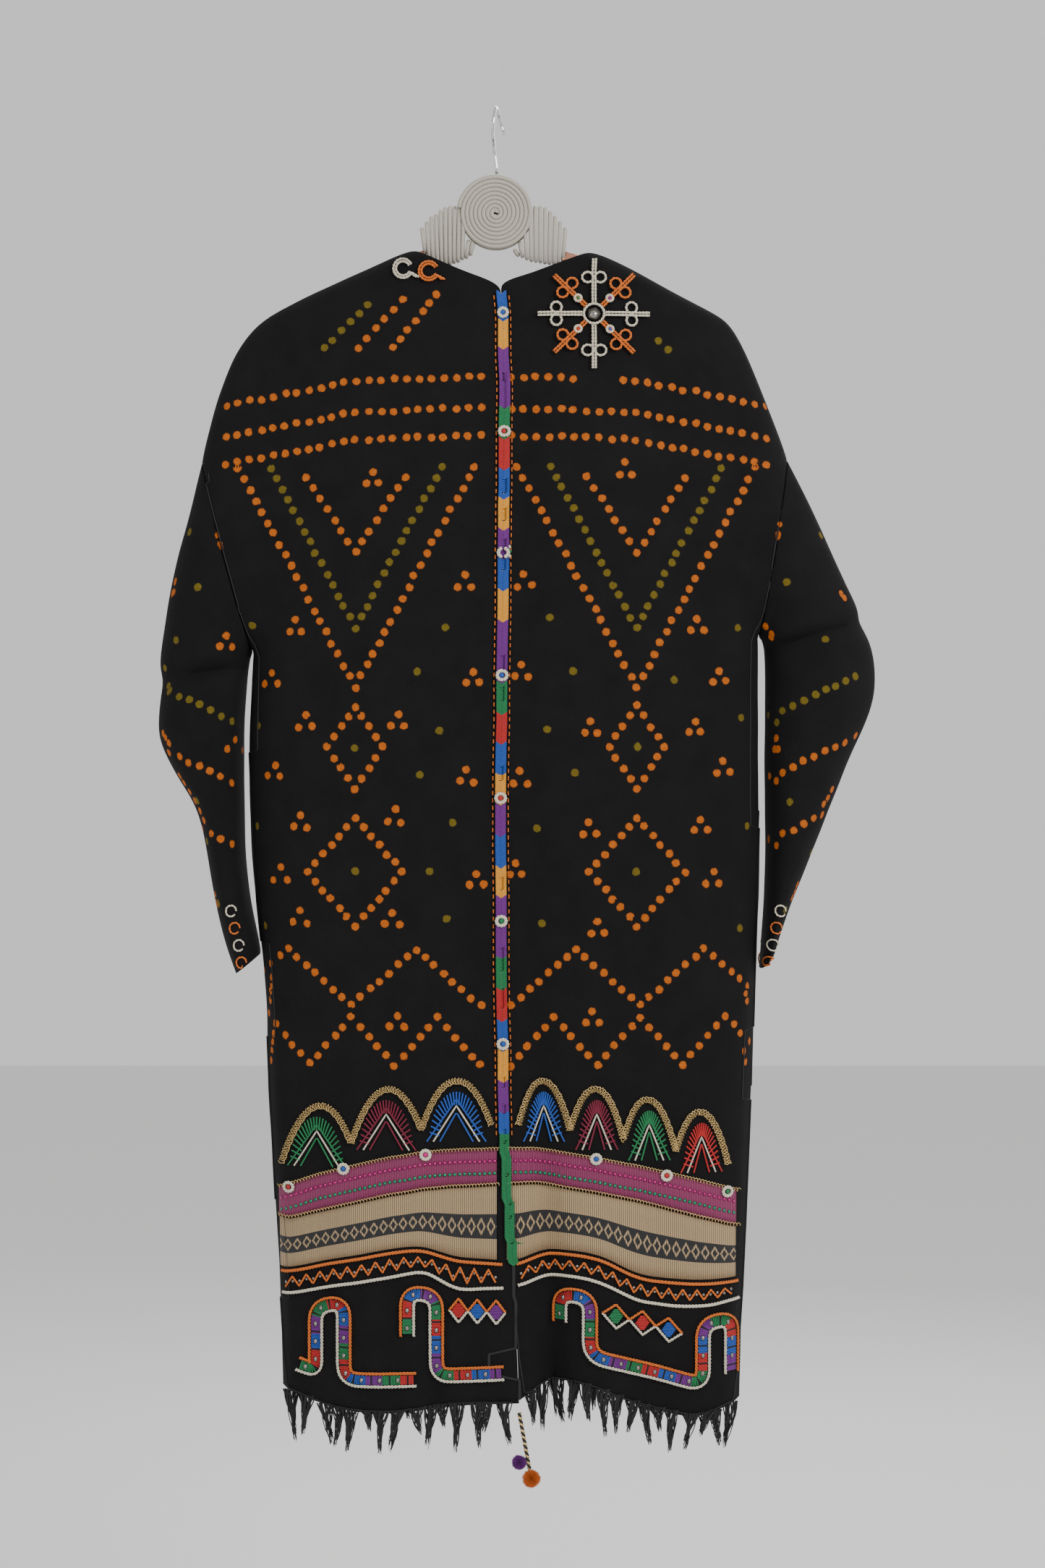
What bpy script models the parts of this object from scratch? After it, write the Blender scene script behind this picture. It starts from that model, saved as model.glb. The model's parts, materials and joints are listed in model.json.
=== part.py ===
"""Black wool coat with an embroidered border, hung on a cord wound hanger.

The frame: +Z up, the origin is the inside of the hook's crown, where a rod
bears. The coat's back faces -Y and +X is the right of somebody who looks at it.
Tables are in millimetres and become metres when a mesh is made.
"""
import math

import bpy
import numpy as np
from mathutils import Vector
from mathutils.bvhtree import BVHTree

for old in list(bpy.data.objects):
    bpy.data.objects.remove(old, do_unlink=True)

MM = 0.001
WALL = 2.4            # wool cloth with its turned seams
SEAM = 0.3            # clearance between two pieces that are sewn together
BAR_ROUND = 12.0      # radius of the cloth where it lies over the hanger's arm
LIFT = 0.5            # clearance under a cord that is couched on the cloth
STEEP_LIFT = 0.9      # the same where the cloth turns in a deep fold or over the shoulder

WOOL = (0.012, 0.011, 0.011)
ORANGE = (0.62, 0.16, 0.03)
CREAM = (0.66, 0.60, 0.50)
GOLD = (0.55, 0.40, 0.16)
PINK = (0.45, 0.10, 0.20)
RED = (0.50, 0.03, 0.03)
BLUE = (0.05, 0.12, 0.50)
GREEN = (0.03, 0.22, 0.12)
AMBER = (0.50, 0.22, 0.03)
PURPLE = (0.20, 0.05, 0.28)
CORD = (0.42, 0.39, 0.33)
COPPER = (0.60, 0.32, 0.22)
CHROME = (0.55, 0.56, 0.58)

# Centre back seam and half depths of the body, by height.
SPINE = (
    # z, seam x, back depth, front depth
    (-100, 4, 14, 14),
    (-165, 4, 18, 16),
    (-250, 8, 33, 28),
    (-350, 7, 47, 38),
    (-500, 6, 57, 46),
    (-640, 4, 59, 48),
    (-820, 5, 60, 48),
    (-975, 8, 58, 47),
    (-1050, 13, 57, 46),
    (-1110, 17, 55, 45),
    (-1215, 22, 52, 44),
)
# Side edges of the body below the underarm, by height.
SIDES = (
    # z, left x, right x
    (-498, -228, 246),
    (-560, -231, 246),
    (-640, -234, 246.5),
    (-730, -228, 247),
    (-820, -215, 243),
    (-900, -215, 240),
    (-975, -212, 238),
    (-1050, -206, 234),
    (-1110, -203, 231),
    (-1215, -200, 228),
)
# Top line of each panel, from the centre over the neck peak to the armhole.
TOPS = {
    ("back", -1): ((0, 4, -170), (0.2, -38, -157), (0.4, -79, -131), (0.5, -108, -144),
                   (0.6, -133, -156), (0.7, -160, -168), (0.79, -190, -182),
                   (0.88, -225, -200), (0.92, -243, -219), (0.96, -262, -268),
                   (1, -277, -331)),
    ("back", 1): ((0, 4, -170), (0.2, 44, -157), (0.4, 90, -133), (0.52, 120, -147),
                  (0.63, 147, -161), (0.74, 180, -179), (0.83, 207, -192),
                  (0.88, 222, -203), (0.92, 234, -229), (0.96, 254, -272),
                  (1, 273, -328)),
    ("front", -1): ((0, -8, -335), (0.2, -44, -235), (0.4, -79, -131), (0.55, -120, -150),
                    (0.7, -160, -168), (0.79, -190, -182), (0.88, -225, -200),
                    (0.94, -253, -240), (1, -277, -331)),
    ("front", 1): ((0, 20, -335), (0.2, 56, -235), (0.4, 90, -133), (0.55, 127, -151),
                   (0.7, 168, -173), (0.79, 195, -186), (0.88, 222, -203),
                   (0.94, 243, -250), (1, 273, -328)),
}
UNDERARMS = {-1: -512, 1: -498}
ARMHOLE_HALF_DEPTH = 34.0

# Shares of a panel's width that carry a column of points.
COLUMNS = {
    ("back", -1): (0, 0.12, 0.24, 0.35, 0.4, 0.5, 0.6, 0.7, 0.79, 0.88, 0.93, 0.97, 1),
    ("back", 1): (0, 0.055, 0.105, 0.155, 0.205, 0.255, 0.35, 0.4, 0.52, 0.63, 0.74, 0.83,
                  0.88, 0.93, 0.97, 1),
    ("front", -1): (0, 0.2, 0.35, 0.4, 0.55, 0.7, 0.79, 0.88, 0.95, 1),
    ("front", 1): (0, 0.2, 0.35, 0.4, 0.55, 0.7, 0.79, 0.88, 0.95, 1),
}
# Shares of the way from the top line to the underarm, and on to the border.
UPPER_ROWS = (0, 0.018, 0.05, 0.1, 0.17, 0.27, 0.38, 0.5, 0.63, 0.76, 0.88, 1)
MIDDLE_ROWS = (0.11, 0.22, 0.33, 0.44, 0.56, 0.68, 0.79, 0.9)

# Lines of the border, by share of a panel's width.
BORDER = {
    -1: (
        # u, ribbon top, ribbon foot, stripe top, stripe foot, orange, cream, hem
        (0, -969, -1002, -1023, -1044, -1077, -1098, -1206),
        (0.25, -971, -1005, -1023, -1044, -1073, -1099, -1207),
        (0.35, -973, -1007, -1023, -1044, -1065, -1085, -1210),
        (0.42, -976, -1010, -1024, -1044, -1063, -1083, -1213),
        (0.5, -979, -1013, -1025, -1044, -1066, -1088, -1214),
        (0.75, -992, -1026, -1037, -1057, -1077, -1098, -1215),
        (1, -1012, -1041, -1053, -1072, -1091, -1111, -1198),
    ),
    1: (
        (0, -969, -1002, -1016, -1036, -1077, -1097, -1203),
        (0.13, -970, -1002, -1019, -1038, -1068, -1088, -1188),
        (0.3, -975, -1007, -1027, -1047, -1067, -1087, -1187),
        (0.4, -980, -1012, -1031, -1051, -1075, -1096, -1196),
        (0.55, -987, -1019, -1040, -1060, -1092, -1113, -1210),
        (0.8, -1001, -1035, -1054, -1073, -1097, -1118, -1222),
        (1, -1016, -1048, -1063, -1083, -1097, -1112, -1209),
    ),
}
ROW_ORANGE, ROW_CREAM = 3, 4  # rows of a panel below the top of the ribbon

FOLDS = {
    ("back", -1): (
        # top x, top z, foot x, foot z, half width, depth at the top, at the foot
        (-168, -400, -150, -640, 28, 8, 4),
        (-92, -720, -112, -960, 26, 4, 6),
        (-160, -860, -166, -1215, 26, 4, 8),
        (-48, -960, -50, -1215, 26, 2, 9),
        (-112, -1020, -108, -1215, 24, 0, -6),
    ),
    ("back", 1): (
        (158, -260, 188, -600, 28, 10, 7),
        (26, -290, 32, -800, 20, 5, 5),
        (34, -800, 54, -1215, 27, 2, 29),
        (114, -730, 118, -960, 26, 5, 4),
        (140, -940, 148, -1215, 30, 2, 9),
        (98, -1000, 100, -1215, 22, 0, -6),
    ),
    ("front", -1): ((-110, -420, -104, -1215, 30, 4, 10), (-168, -800, -170, -1215, 28, 3, 7)),
    ("front", 1): ((120, -420, 118, -1215, 30, 4, 10), (186, -800, 184, -1215, 28, 3, 7)),
}

# Sections of each sleeve after the armhole, down to the cuff.
SLEEVES = {
    -1: (
        # outer x, outer z, inner x, inner z, half depth, centre y
        (-283, -352, -229.6, -514, 37, 1),
        (-287, -371, -230.4, -515.6, 40, 3),
        (-302, -423, -231.2, -517.2, 46, 5),
        (-309, -458, -231.6, -518.6, 48, 6),
        (-316, -500, -231.8, -520, 47, 6),
        (-319, -524, -232, -521.4, 43, 6),
        (-315, -536, -232.4, -524, 33, 6),
        (-317, -550, -233.4, -531, 42, 6),
        (-319, -572, -235, -549, 47, 7),
        (-319, -591, -236.4, -574, 48, 7),
        (-311, -610, -237.2, -604, 48, 8),
        (-298, -632, -237.6, -636, 46, 8),
        (-281, -656, -237.4, -670, 44, 8),
        (-273, -698, -236, -708, 43, 8),
        (-264, -748, -231.4, -745, 42, 8),
        (-256, -782, -225, -773, 41, 8),
        (-245, -812, -221.5, -793, 40, 8),
    ),
    1: (
        (284, -348, 248.6, -500, 37, 1),
        (296, -371, 249.6, -501.6, 40, 3),
        (320, -423, 250.2, -503.2, 46, 5),
        (333, -452, 250.4, -504.6, 47, 6),
        (342, -470, 250.6, -506, 43, 6),
        (341, -481, 251, -508.4, 33, 6),
        (352, -497, 251.4, -515, 43, 6),
        (358, -521, 251.8, -530, 47, 7),
        (358, -549, 252, -550, 48, 7),
        (349, -577, 252, -575, 47, 8),
        (337, -600, 252, -604, 46, 8),
        (327, -625, 252.4, -640, 45, 9),
        (310, -668, 252.6, -680, 44, 10),
        (292, -713, 252.4, -722, 43, 11),
        (277, -748, 251.4, -756, 42, 12),
        (268, -773, 250, -784, 42, 13),
        (262, -792, 248.4, -808, 42, 14),
    ),
}
SLEEVE_SIDES = 16

DISC = {"x": -1.0, "z": -98.0, "radius": 37.0, "half": 5.4, "ridge": 1.5}
WRAPS = {
    # radius, upper angle, lower angle (degrees, about the disc's centre)
    -1: ((37.7, 169, 238), (48, 178, 235), (58, 187, 230), (67, 195, 226), (74, 200, 222)),
    1: ((37.7, 11, -62), (48, 0, -57), (58, -10, -50), (67, -19, -44), (73, -24, -41)),
}
HOOK = (
    (0.4, 0, -60.4), (-0.4, 0, -50), (-1.8, 0, -41), (-2.3, -4, -34.5), (-3.0, -11, -30),
    (-3.2, -16, -23), (-2.8, -17.5, -15), (-1.8, -15, -6.5), (-0.8, -8.5, -0.6),
    (0, 0, 1.5), (1.4, 8.5, -0.8), (3.4, 15, -7), (5.4, 17.4, -14), (7.2, 16.4, -20),
)

# Middles of the button rings on the centre back seam.
SEAM_BUTTONS = (-217, -326, -449, -554, -663, -773, -898)
RIBBON_BUTTONS = (
    # name, x, z, colour
    ("button_left_outer", -190, -1008, RED),
    ("button_left_middle", -140, -989, BLUE),
    ("button_left_inner", -65, -975, PINK),
    ("button_right_inner", 92, -979, BLUE),
    ("button_right_middle", 157, -995, RED),
    ("button_right_outer", 212, -1012, GREEN),
)

# Even arches of gold coil above the ribbon.
SCALLOPS = {
    # side: arches, x at the seam, x at the side
    -1: (3, -4.0, -198.0),
    1: (4, 20.0, 214.0),
}
SCALLOP_LIFT = 22.0          # a valley's height above the ribbon
SCALLOP_RISE = 42.0          # a peak's height above its valleys

# Canes: channels of two couched cords that stand on a foot, go up a leg, over
# a round crown and down again, between the cream line and the hem.
CANES = (
    # name, x of the first leg, foot before it (0 where it is short), foot after, crowns
    ("cane_left_outer", -167, 17, 66, 1),
    ("cane_left_inner", -82, 0, 62, 1),
    ("cane_right", 60, 0, 104, 2),
)
CANE_GAP = 27.0              # between the legs under a crown
CANE_HALF_WIDTH = 7.5
CANE_RAIL = 3.4
CANE_STEP = 12.5             # from one rung's half step to the next
CROWN_BELOW_LINE = 16.5
FOOT_ABOVE_HEM = 29.0
SHORT_LEG = 0.5              # where a short leg ends, from the foot line to the crown

# Chains of couched diamonds: first and last corner, half height, count.
CHAINS = {
    "chain_left": ((-43, -1119), (9, -1121), 11, 3),
    "chain_right": ((98, -1121), (172, -1142), 11, 3),
}


def table(rows, key, column):
    """Linear reading of one column of a table by its first column."""
    ordered = sorted(rows)
    return float(np.interp(key, [r[0] for r in ordered], [r[column] for r in ordered]))


def smooth(value, low, high):
    share = min(1.0, max(0.0, (value - low) / (high - low)))
    return share * share * (3 - 2 * share)


def material(name, color, roughness, metallic):
    mat = bpy.data.materials.new(name)
    mat.use_nodes = True
    shader = mat.node_tree.nodes["Principled BSDF"]
    shader.inputs["Base Color"].default_value = (*color, 1)
    shader.inputs["Roughness"].default_value = roughness
    shader.inputs["Metallic"].default_value = metallic
    return mat


def volume(points, faces):
    total = 0.0
    for face in faces:
        for k in range(1, len(face) - 1):
            a, b, c = points[face[0]], points[face[k]], points[face[k + 1]]
            total += float(np.dot(a, np.cross(b, c)))
    return total


def add(name, points, faces, color, roughness=0.8, metallic=0.0):
    """A closed mesh object from points in millimetres."""
    points = np.array(points, dtype=float)
    if volume(points, faces) < 0:
        faces = [tuple(reversed(face)) for face in faces]
    mesh = bpy.data.meshes.new(name)
    mesh.from_pydata([tuple(p * MM) for p in points], [], faces)
    mesh.update()
    obj = bpy.data.objects.new(name, mesh)
    bpy.context.scene.collection.objects.link(obj)
    mesh.materials.append(material(name, color, roughness, metallic))
    return obj


def shell(outer, inner, closed):
    """Triangles of a wall between two grids of points with the same shape."""
    outer, inner = np.array(outer), np.array(inner)
    rows, cols = outer.shape[:2]
    points = np.concatenate([outer.reshape(-1, 3), inner.reshape(-1, 3)])
    base = rows * cols

    def at(layer, r, c):
        return layer * base + r * cols + c % cols

    faces = []
    last = cols if closed else cols - 1
    for r in range(rows - 1):
        for c in range(last):
            for layer in (0, 1):
                a, b = at(layer, r, c), at(layer, r, c + 1)
                d, e = at(layer, r + 1, c + 1), at(layer, r + 1, c)
                pair = [(a, b, d), (a, d, e)]
                faces += pair if layer == 0 else [tuple(reversed(f)) for f in pair]
    for c in range(last):
        for r, turn in ((0, True), (rows - 1, False)):
            a, b = at(0, r, c), at(0, r, c + 1)
            d, e = at(1, r, c + 1), at(1, r, c)
            quad = (a, e, d, b) if turn else (a, b, d, e)
            faces += [(quad[0], quad[1], quad[2]), (quad[0], quad[2], quad[3])]
    if not closed:
        for r in range(rows - 1):
            for c, turn in ((0, False), (cols - 1, True)):
                a, b = at(0, r, c), at(0, r + 1, c)
                d, e = at(1, r + 1, c), at(1, r, c)
                quad = (a, e, d, b) if turn else (a, b, d, e)
                faces += [(quad[0], quad[1], quad[2]), (quad[0], quad[2], quad[3])]
    return points, faces


def fold_depth(folds, x, z):
    total = 0.0
    for top_x, top_z, foot_x, foot_z, half, top_depth, foot_depth in folds:
        share = (top_z - z) / (top_z - foot_z)
        if share < -0.25 or share > 1.25:
            continue
        middle = top_x + (foot_x - top_x) * share
        off = abs(x - middle) / half
        if off >= 1:
            continue
        inside = min(1.0, max(0.0, share))
        depth = top_depth + (foot_depth - top_depth) * inside ** 1.5
        fade = smooth(share, -0.25, 0.05)
        if foot_z > -1200:
            fade *= 1 - smooth(share, 0.95, 1.25)
        total += depth * fade * math.cos(off * math.pi / 2) ** 2
    return total


def panel_point(face, side, u, row):
    """One point on the outside of a panel: share of the width and row number."""
    way = -1 if face == "back" else 1
    depth_column = 2 if face == "back" else 3
    top = TOPS[(face, side)]
    top_x, top_z = table(top, u, 1), table(top, u, 2)
    under_z = UNDERARMS[side]
    centre_gap = 0.15 if face == "back" else 13.0
    side_column = 1 if side < 0 else 2
    upper = len(UPPER_ROWS) - 1
    middle = len(MIDDLE_ROWS)

    def body_x(z):
        start = table(SPINE, z, 1) + side * centre_gap
        return start + (table(SIDES, z, side_column) - start) * u

    if row <= upper:
        share = UPPER_ROWS[row]
        turn = math.pi * row / upper
        loop = (1 - math.cos(turn)) / 2
        join = smooth(u, 0.72, 1.0)
        share_u = share + (loop - share) * join
        z = top_z + (under_z - top_z) * share_u
        end_x = body_x(under_z)
        spread = smooth(share, 0, 1)
        x = top_x + (end_x - top_x) * (spread + (loop - spread) * join)
        if u < 0.3:
            straight = table(SPINE, z, 1) + side * centre_gap
            x += (straight - (top_x + (end_x - top_x) * spread)) * (1 - u / 0.3)
    else:
        turn = math.pi
        border = BORDER[side]
        ribbon_z = table(border, u, 1)
        if row <= upper + middle:
            z = under_z + (ribbon_z - under_z) * MIDDLE_ROWS[row - upper - 1]
        else:
            k = row - upper - middle - 1
            cream_z, hem_z = table(border, u, 6), table(border, u, 7)
            z = (ribbon_z, table(border, u, 2), table(border, u, 4), table(border, u, 5), cream_z,
                 cream_z + (hem_z - cream_z) * 0.34, cream_z + (hem_z - cream_z) * 0.67, hem_z)[k]
        x = body_x(z)

    drop = max(0.0, top_z - z)
    if drop < BAR_ROUND:
        over_bar = math.sqrt(BAR_ROUND ** 2 - (BAR_ROUND - drop) ** 2)
    else:
        over_bar = BAR_ROUND
    on_shoulder = smooth(u, 0.35, 0.4)
    depth = table(SPINE, z, depth_column)
    if face == "back":
        free = 17.0
    else:
        free = table(SPINE, top_z, depth_column)
    start = free + (over_bar - free) * on_shoulder
    swell = max(0.0, depth - max(start, BAR_ROUND)) * (1 - math.exp(-drop / 45))
    profile = math.sqrt(max(0.0, 1 - u ** 4))
    low = smooth(drop, 20, 240)
    wide = 1 + (profile - 1) * low
    body = start * wide + swell * profile
    if row <= upper:
        near_loop = smooth(u, 0.8, 1.0)
        body = math.hypot(body - start * (1 - low) * near_loop,
                          ARMHOLE_HALF_DEPTH * math.sin(turn) * near_loop)
    edge = 1 - smooth(u, 0.86, 1.0)
    body -= fold_depth(FOLDS[(face, side)], x, z) * edge
    if u >= 1 and row > upper:
        body = 0.0
    return np.array((x, way * (body + SEAM / 2), z))


def unit(vector):
    return vector / np.linalg.norm(vector)


def grid_normals(grid, way_out, edges):
    """Outward directions at the points of a grid, kept in plane along its edges."""
    rows, cols = grid.shape[:2]
    normals = np.zeros_like(grid)
    for r in range(rows):
        for c in range(cols):
            across = grid[r, min(c + 1, cols - 1)] - grid[r, max(c - 1, 0)]
            down = grid[min(r + 1, rows - 1), c] - grid[max(r - 1, 0), c]
            normal = unit(np.cross(across, down))
            normals[r, c] = edges(r, c, normal * way_out)
    return normals


def make_panel(face, side):
    """A loom width with its folds, as a wall with the outline of the garment."""
    columns = COLUMNS[(face, side)]
    upper = len(UPPER_ROWS) - 1
    rows = len(UPPER_ROWS) + len(MIDDLE_ROWS) + 8
    grid = np.array([[panel_point(face, side, u, r) for u in columns] for r in range(rows)])
    way = -1 if face == "back" else 1
    last = len(columns) - 1
    flip = 1 if np.cross(grid[8, 3] - grid[8, 2], grid[9, 2] - grid[8, 2])[1] * way > 0 else -1
    under_z = UNDERARMS[side]
    under_x = table(SIDES, under_z, 1 if side < 0 else 2)
    top_x, top_z = TOPS[(face, side)][-1][1:]
    centre = np.array(((top_x + under_x) / 2, 0, (top_z + under_z) / 2))
    axis = unit(np.array((top_x - under_x, 0, top_z - under_z)))

    def edges(r, c, normal):
        if c == last and r <= upper:
            away = grid[r, c] - centre
            long_part = np.dot(away, axis)
            half = np.linalg.norm(np.array((top_x - under_x, 0, top_z - under_z))) / 2
            radial = axis * long_part / half ** 2
            radial[1] = away[1] / ARMHOLE_HALF_DEPTH ** 2
            radial = unit(radial)
            if r == upper:
                return np.array((side, 0.0, -1.0))
            if r == 0:
                radial[1] = 0
            return unit(radial)
        if r == 0 and columns[c] >= 0.4:
            normal = np.array((normal[0], 0, max(normal[2], 0.3)))
            around = grid[0, min(c + 1, last)] - grid[0, max(c - 1, 0)]
            square = np.array((-around[2], 0, around[0])) * side
            return unit(square)
        if r <= 1 and columns[c] < 0.4:
            return np.array((0.0, way, 0.0))
        if c == last:
            return np.array((side, 0.0, 0.0))
        if c == 0:
            normal = np.array((0, normal[1], normal[2]))
        return unit(normal)

    normals = grid_normals(grid, flip, edges)
    points, faces = shell(grid, grid - normals * WALL, False)
    name = f"{face}_{'left' if side < 0 else 'right'}"
    add(name, points, faces, WOOL, 0.9)
    tree = BVHTree.FromPolygons([tuple(p) for p in points], faces)
    return grid, normals, tree


def make_sleeve(side):
    rings, walls = [], []
    top_x, top_z = TOPS[("back", side)][-1][1:]
    under_z = UNDERARMS[side]
    under_x = table(SIDES, under_z, 1 if side < 0 else 2)
    out = unit(np.array((side * (top_z - under_z), side * (under_x - top_x)))) * (SEAM + 0.1)
    armhole = (top_x + out[0], top_z + out[1], under_x + out[0], under_z + out[1],
               ARMHOLE_HALF_DEPTH, 0)
    for outer_x, outer_z, inner_x, inner_z, half_depth, centre_y in (armhole, *SLEEVES[side]):
        middle = np.array(((outer_x + inner_x) / 2, centre_y, (outer_z + inner_z) / 2))
        arm = np.array(((outer_x - inner_x) / 2, 0, (outer_z - inner_z) / 2))
        half = np.linalg.norm(arm)
        ring, wall = [], []
        for k in range(SLEEVE_SIDES):
            angle = 2 * math.pi * k / SLEEVE_SIDES
            c, s = math.cos(angle), math.sin(angle)
            point = middle + arm * c + np.array((0, -half_depth * s, 0))
            inward = arm / half * (c / half) + np.array((0, -s / half_depth, 0))
            ring.append(point)
            wall.append(point - unit(inward) * WALL)
        rings.append(ring)
        walls.append(wall)
    points, faces = shell(rings, walls, True)
    add(f"sleeve_{'left' if side < 0 else 'right'}", points, faces, WOOL, 0.9)


def surface(tree, x, z, way=-1):
    """The outside of the cloth at x and z: a point and its outward direction."""
    hit = tree.ray_cast(Vector((x, way * 200, z)), Vector((0, -way, 0)))
    if hit[0] is None:
        return None
    normal = np.array(hit[1])
    if normal[1] * way < 0:
        normal = -normal
    return np.array(hit[0]), normal


SPOTS = [(i / 5, j / 5) for i in range(6) for j in range(6 - i)]


def lay(name, tree, flat, quads, height, color, roughness=0.8, metallic=0.0, way=-1, lift=LIFT):
    """A flat net of quads laid on the cloth and raised to a height."""
    base, normals = [], []
    for x, z in flat:
        point, _ = surface(tree, x, z, way)
        spread = []
        for dx, dz in ((-4, 0), (4, 0), (0, -4), (0, 4), (0, 0)):
            near = surface(tree, x + dx, z + dz, way)
            if near is not None:
                spread.append(near[1])
        normals.append(unit(np.sum(spread, axis=0)))
        base.append(point)
    base, normals = np.array(base), np.array(normals)
    rise = np.full(len(base), lift)
    for _ in range(12):
        worst = 0.0
        for quad in quads:
            for m in range(4):
                corner = [quad[m], quad[(m + 1) % 4], quad[(m + 2) % 4]]
                a, b, c = (base[q] + normals[q] * rise[q] for q in corner)
                need = 0.0
                for s, t in SPOTS:
                    spot = a * s + b * t + c * (1 - s - t)
                    place, face_normal = tree.find_nearest(Vector(spot))[:2]
                    face_normal = np.array(face_normal)
                    if face_normal[1] * way < 0:
                        face_normal = -face_normal
                    clear = float(np.dot(spot - np.array(place), face_normal))
                    need = max(need, lift * 0.6 - clear)
                if need > 0:
                    for q in corner:
                        rise[q] += need * 0.6
                    worst = max(worst, need)
        if worst < 0.02:
            break
    low = base + normals * rise[:, None]
    high = base + normals * (rise + height)[:, None]
    points = np.concatenate([low, high])
    count = len(base)
    faces, edge_use = [], {}
    for quad in quads:
        area = 0.0
        for k in range(4):
            a, b = flat[quad[k]], flat[quad[(k + 1) % 4]]
            area += a[0] * b[1] - b[0] * a[1]
        ring = quad if area > 0 else tuple(reversed(quad))
        a, b, c, d = (q + count for q in ring)
        faces += [(a, b, c), (a, c, d)]
        a, b, c, d = reversed(ring)
        faces += [(a, b, d), (b, c, d)]
        for k in range(4):
            edge_use[(ring[k], ring[(k + 1) % 4])] = True
    for a, b in edge_use:
        if (b, a) not in edge_use:
            faces += [(a, b, b + count), (a, b + count, a + count)]
    faces = [tuple(reversed(f)) for f in faces] if way > 0 else faces
    return add(name, points, faces, color, roughness, metallic)


def resample(path, step):
    """Points at even steps along a curve through the given points."""
    dense = []
    ends = [path[0], *path, path[-1]]
    for k in range(1, len(ends) - 2):
        p0, p1, p2, p3 = (np.array(ends[k + m], dtype=float) for m in (-1, 0, 1, 2))
        for n in range(12):
            t = n / 12
            dense.append(0.5 * (2 * p1 + (p2 - p0) * t + (2 * p0 - 5 * p1 + 4 * p2 - p3) * t * t
                                + (3 * p1 - p0 - 3 * p2 + p3) * t ** 3))
    dense.append(np.array(path[-1], dtype=float))
    run = [0.0]
    for a, b in zip(dense, dense[1:]):
        run.append(run[-1] + float(np.linalg.norm(b - a)))
    count = max(2, round(run[-1] / step) + 1)
    wanted = np.linspace(0, run[-1], count)
    flat = np.array(dense)
    return np.stack([np.interp(wanted, run, flat[:, k]) for k in range(flat.shape[1])], axis=1)


def row_height(grid, row, x):
    """The height of one row of a panel at x."""
    line = sorted((p[0], p[2]) for p in grid[row])
    return float(np.interp(x, [p[0] for p in line], [p[1] for p in line]))


def scallop_path(grid, arches, first_x, last_x):
    """Even round arches that follow the top of the ribbon."""
    steps = 7 * arches
    path = []
    for k in range(steps + 1):
        x = first_x + (last_x - first_x) * k / steps
        swing = abs(2 * ((k / 7) % 1) - 1)
        rise = SCALLOP_RISE * (1 - swing ** 2.2)
        path.append((x, row_height(grid, BORDER_TOP, x) + SCALLOP_LIFT + rise))
    return path


def rounded(corners, radius):
    """A flat path with each inner corner made a curve of about that radius."""
    corners = [np.array(corner, dtype=float) for corner in corners]
    path = [corners[0]]
    for before, corner, after in zip(corners, corners[1:], corners[2:]):
        reach = min(radius, np.linalg.norm(corner - before) / 2, np.linalg.norm(after - corner) / 2)
        start = corner + unit(before - corner) * reach
        end = corner + unit(after - corner) * reach
        for k in range(4):
            t = k / 3
            path.append(start * (1 - t) ** 2 + corner * 2 * t * (1 - t) + end * t * t)
    return path + [corners[-1]]


def cane_path(grid, leg, foot_before, foot_after, crowns):
    """The middle line of a cane on a panel."""
    stops = [(leg - foot_before, 0), (leg, 0)] if foot_before else [(leg, SHORT_LEG)]
    for crown in range(crowns):
        stops += [(leg, 1), (leg + CANE_GAP, 1), (leg + CANE_GAP, 0)]
        if crown < crowns - 1 or crowns == 1:
            stops.append((leg + CANE_GAP + foot_after, 0))
        leg += CANE_GAP + foot_after
    corners = []
    for x, share in stops:
        foot = row_height(grid, -1, x) + FOOT_ABOVE_HEM
        crown_z = row_height(grid, BORDER_TOP + ROW_CREAM, x) - CROWN_BELOW_LINE
        corners.append((x, foot + (crown_z - foot) * share))
    return rounded(corners, CANE_GAP / 2)


def ribbon_net(path, half):
    """Quads along a flat path with a half width."""
    flat, quads = [], []
    path = np.array(path, dtype=float)
    for k in range(len(path)):
        before, after = path[max(k - 1, 0)], path[min(k + 1, len(path) - 1)]
        ahead = unit(after - before)
        square = np.array((-ahead[1], ahead[0]))
        wide = half
        if 0 < k < len(path) - 1:
            turn = unit(path[k] - path[k - 1])
            wide = half / max(0.55, float(np.dot(turn, ahead)))
        flat += [tuple(path[k] + square * wide), tuple(path[k] - square * wide)]
        if k:
            quads.append((2 * k - 2, 2 * k - 1, 2 * k + 1, 2 * k))
    return flat, quads


def ladder_net(path, half, rail, every):
    """Two rails along a path, joined by rungs at every few steps."""
    flat, quads = [], []
    path = np.array(path, dtype=float)
    for k in range(len(path)):
        before, after = path[max(k - 1, 0)], path[min(k + 1, len(path) - 1)]
        ahead = unit(after - before)
        square = np.array((-ahead[1], ahead[0]))
        for off in (half, half - rail, rail - half, -half):
            flat.append(tuple(path[k] + square * off))
        if k:
            a, b = 4 * (k - 1), 4 * k
            quads += [(a, a + 1, b + 1, b), (a + 2, a + 3, b + 3, b + 2)]
            if k == 1 or k == len(path) - 1 or k % every == 0:
                quads.append((a + 1, a + 2, b + 2, b + 1))
    return flat, quads


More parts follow.
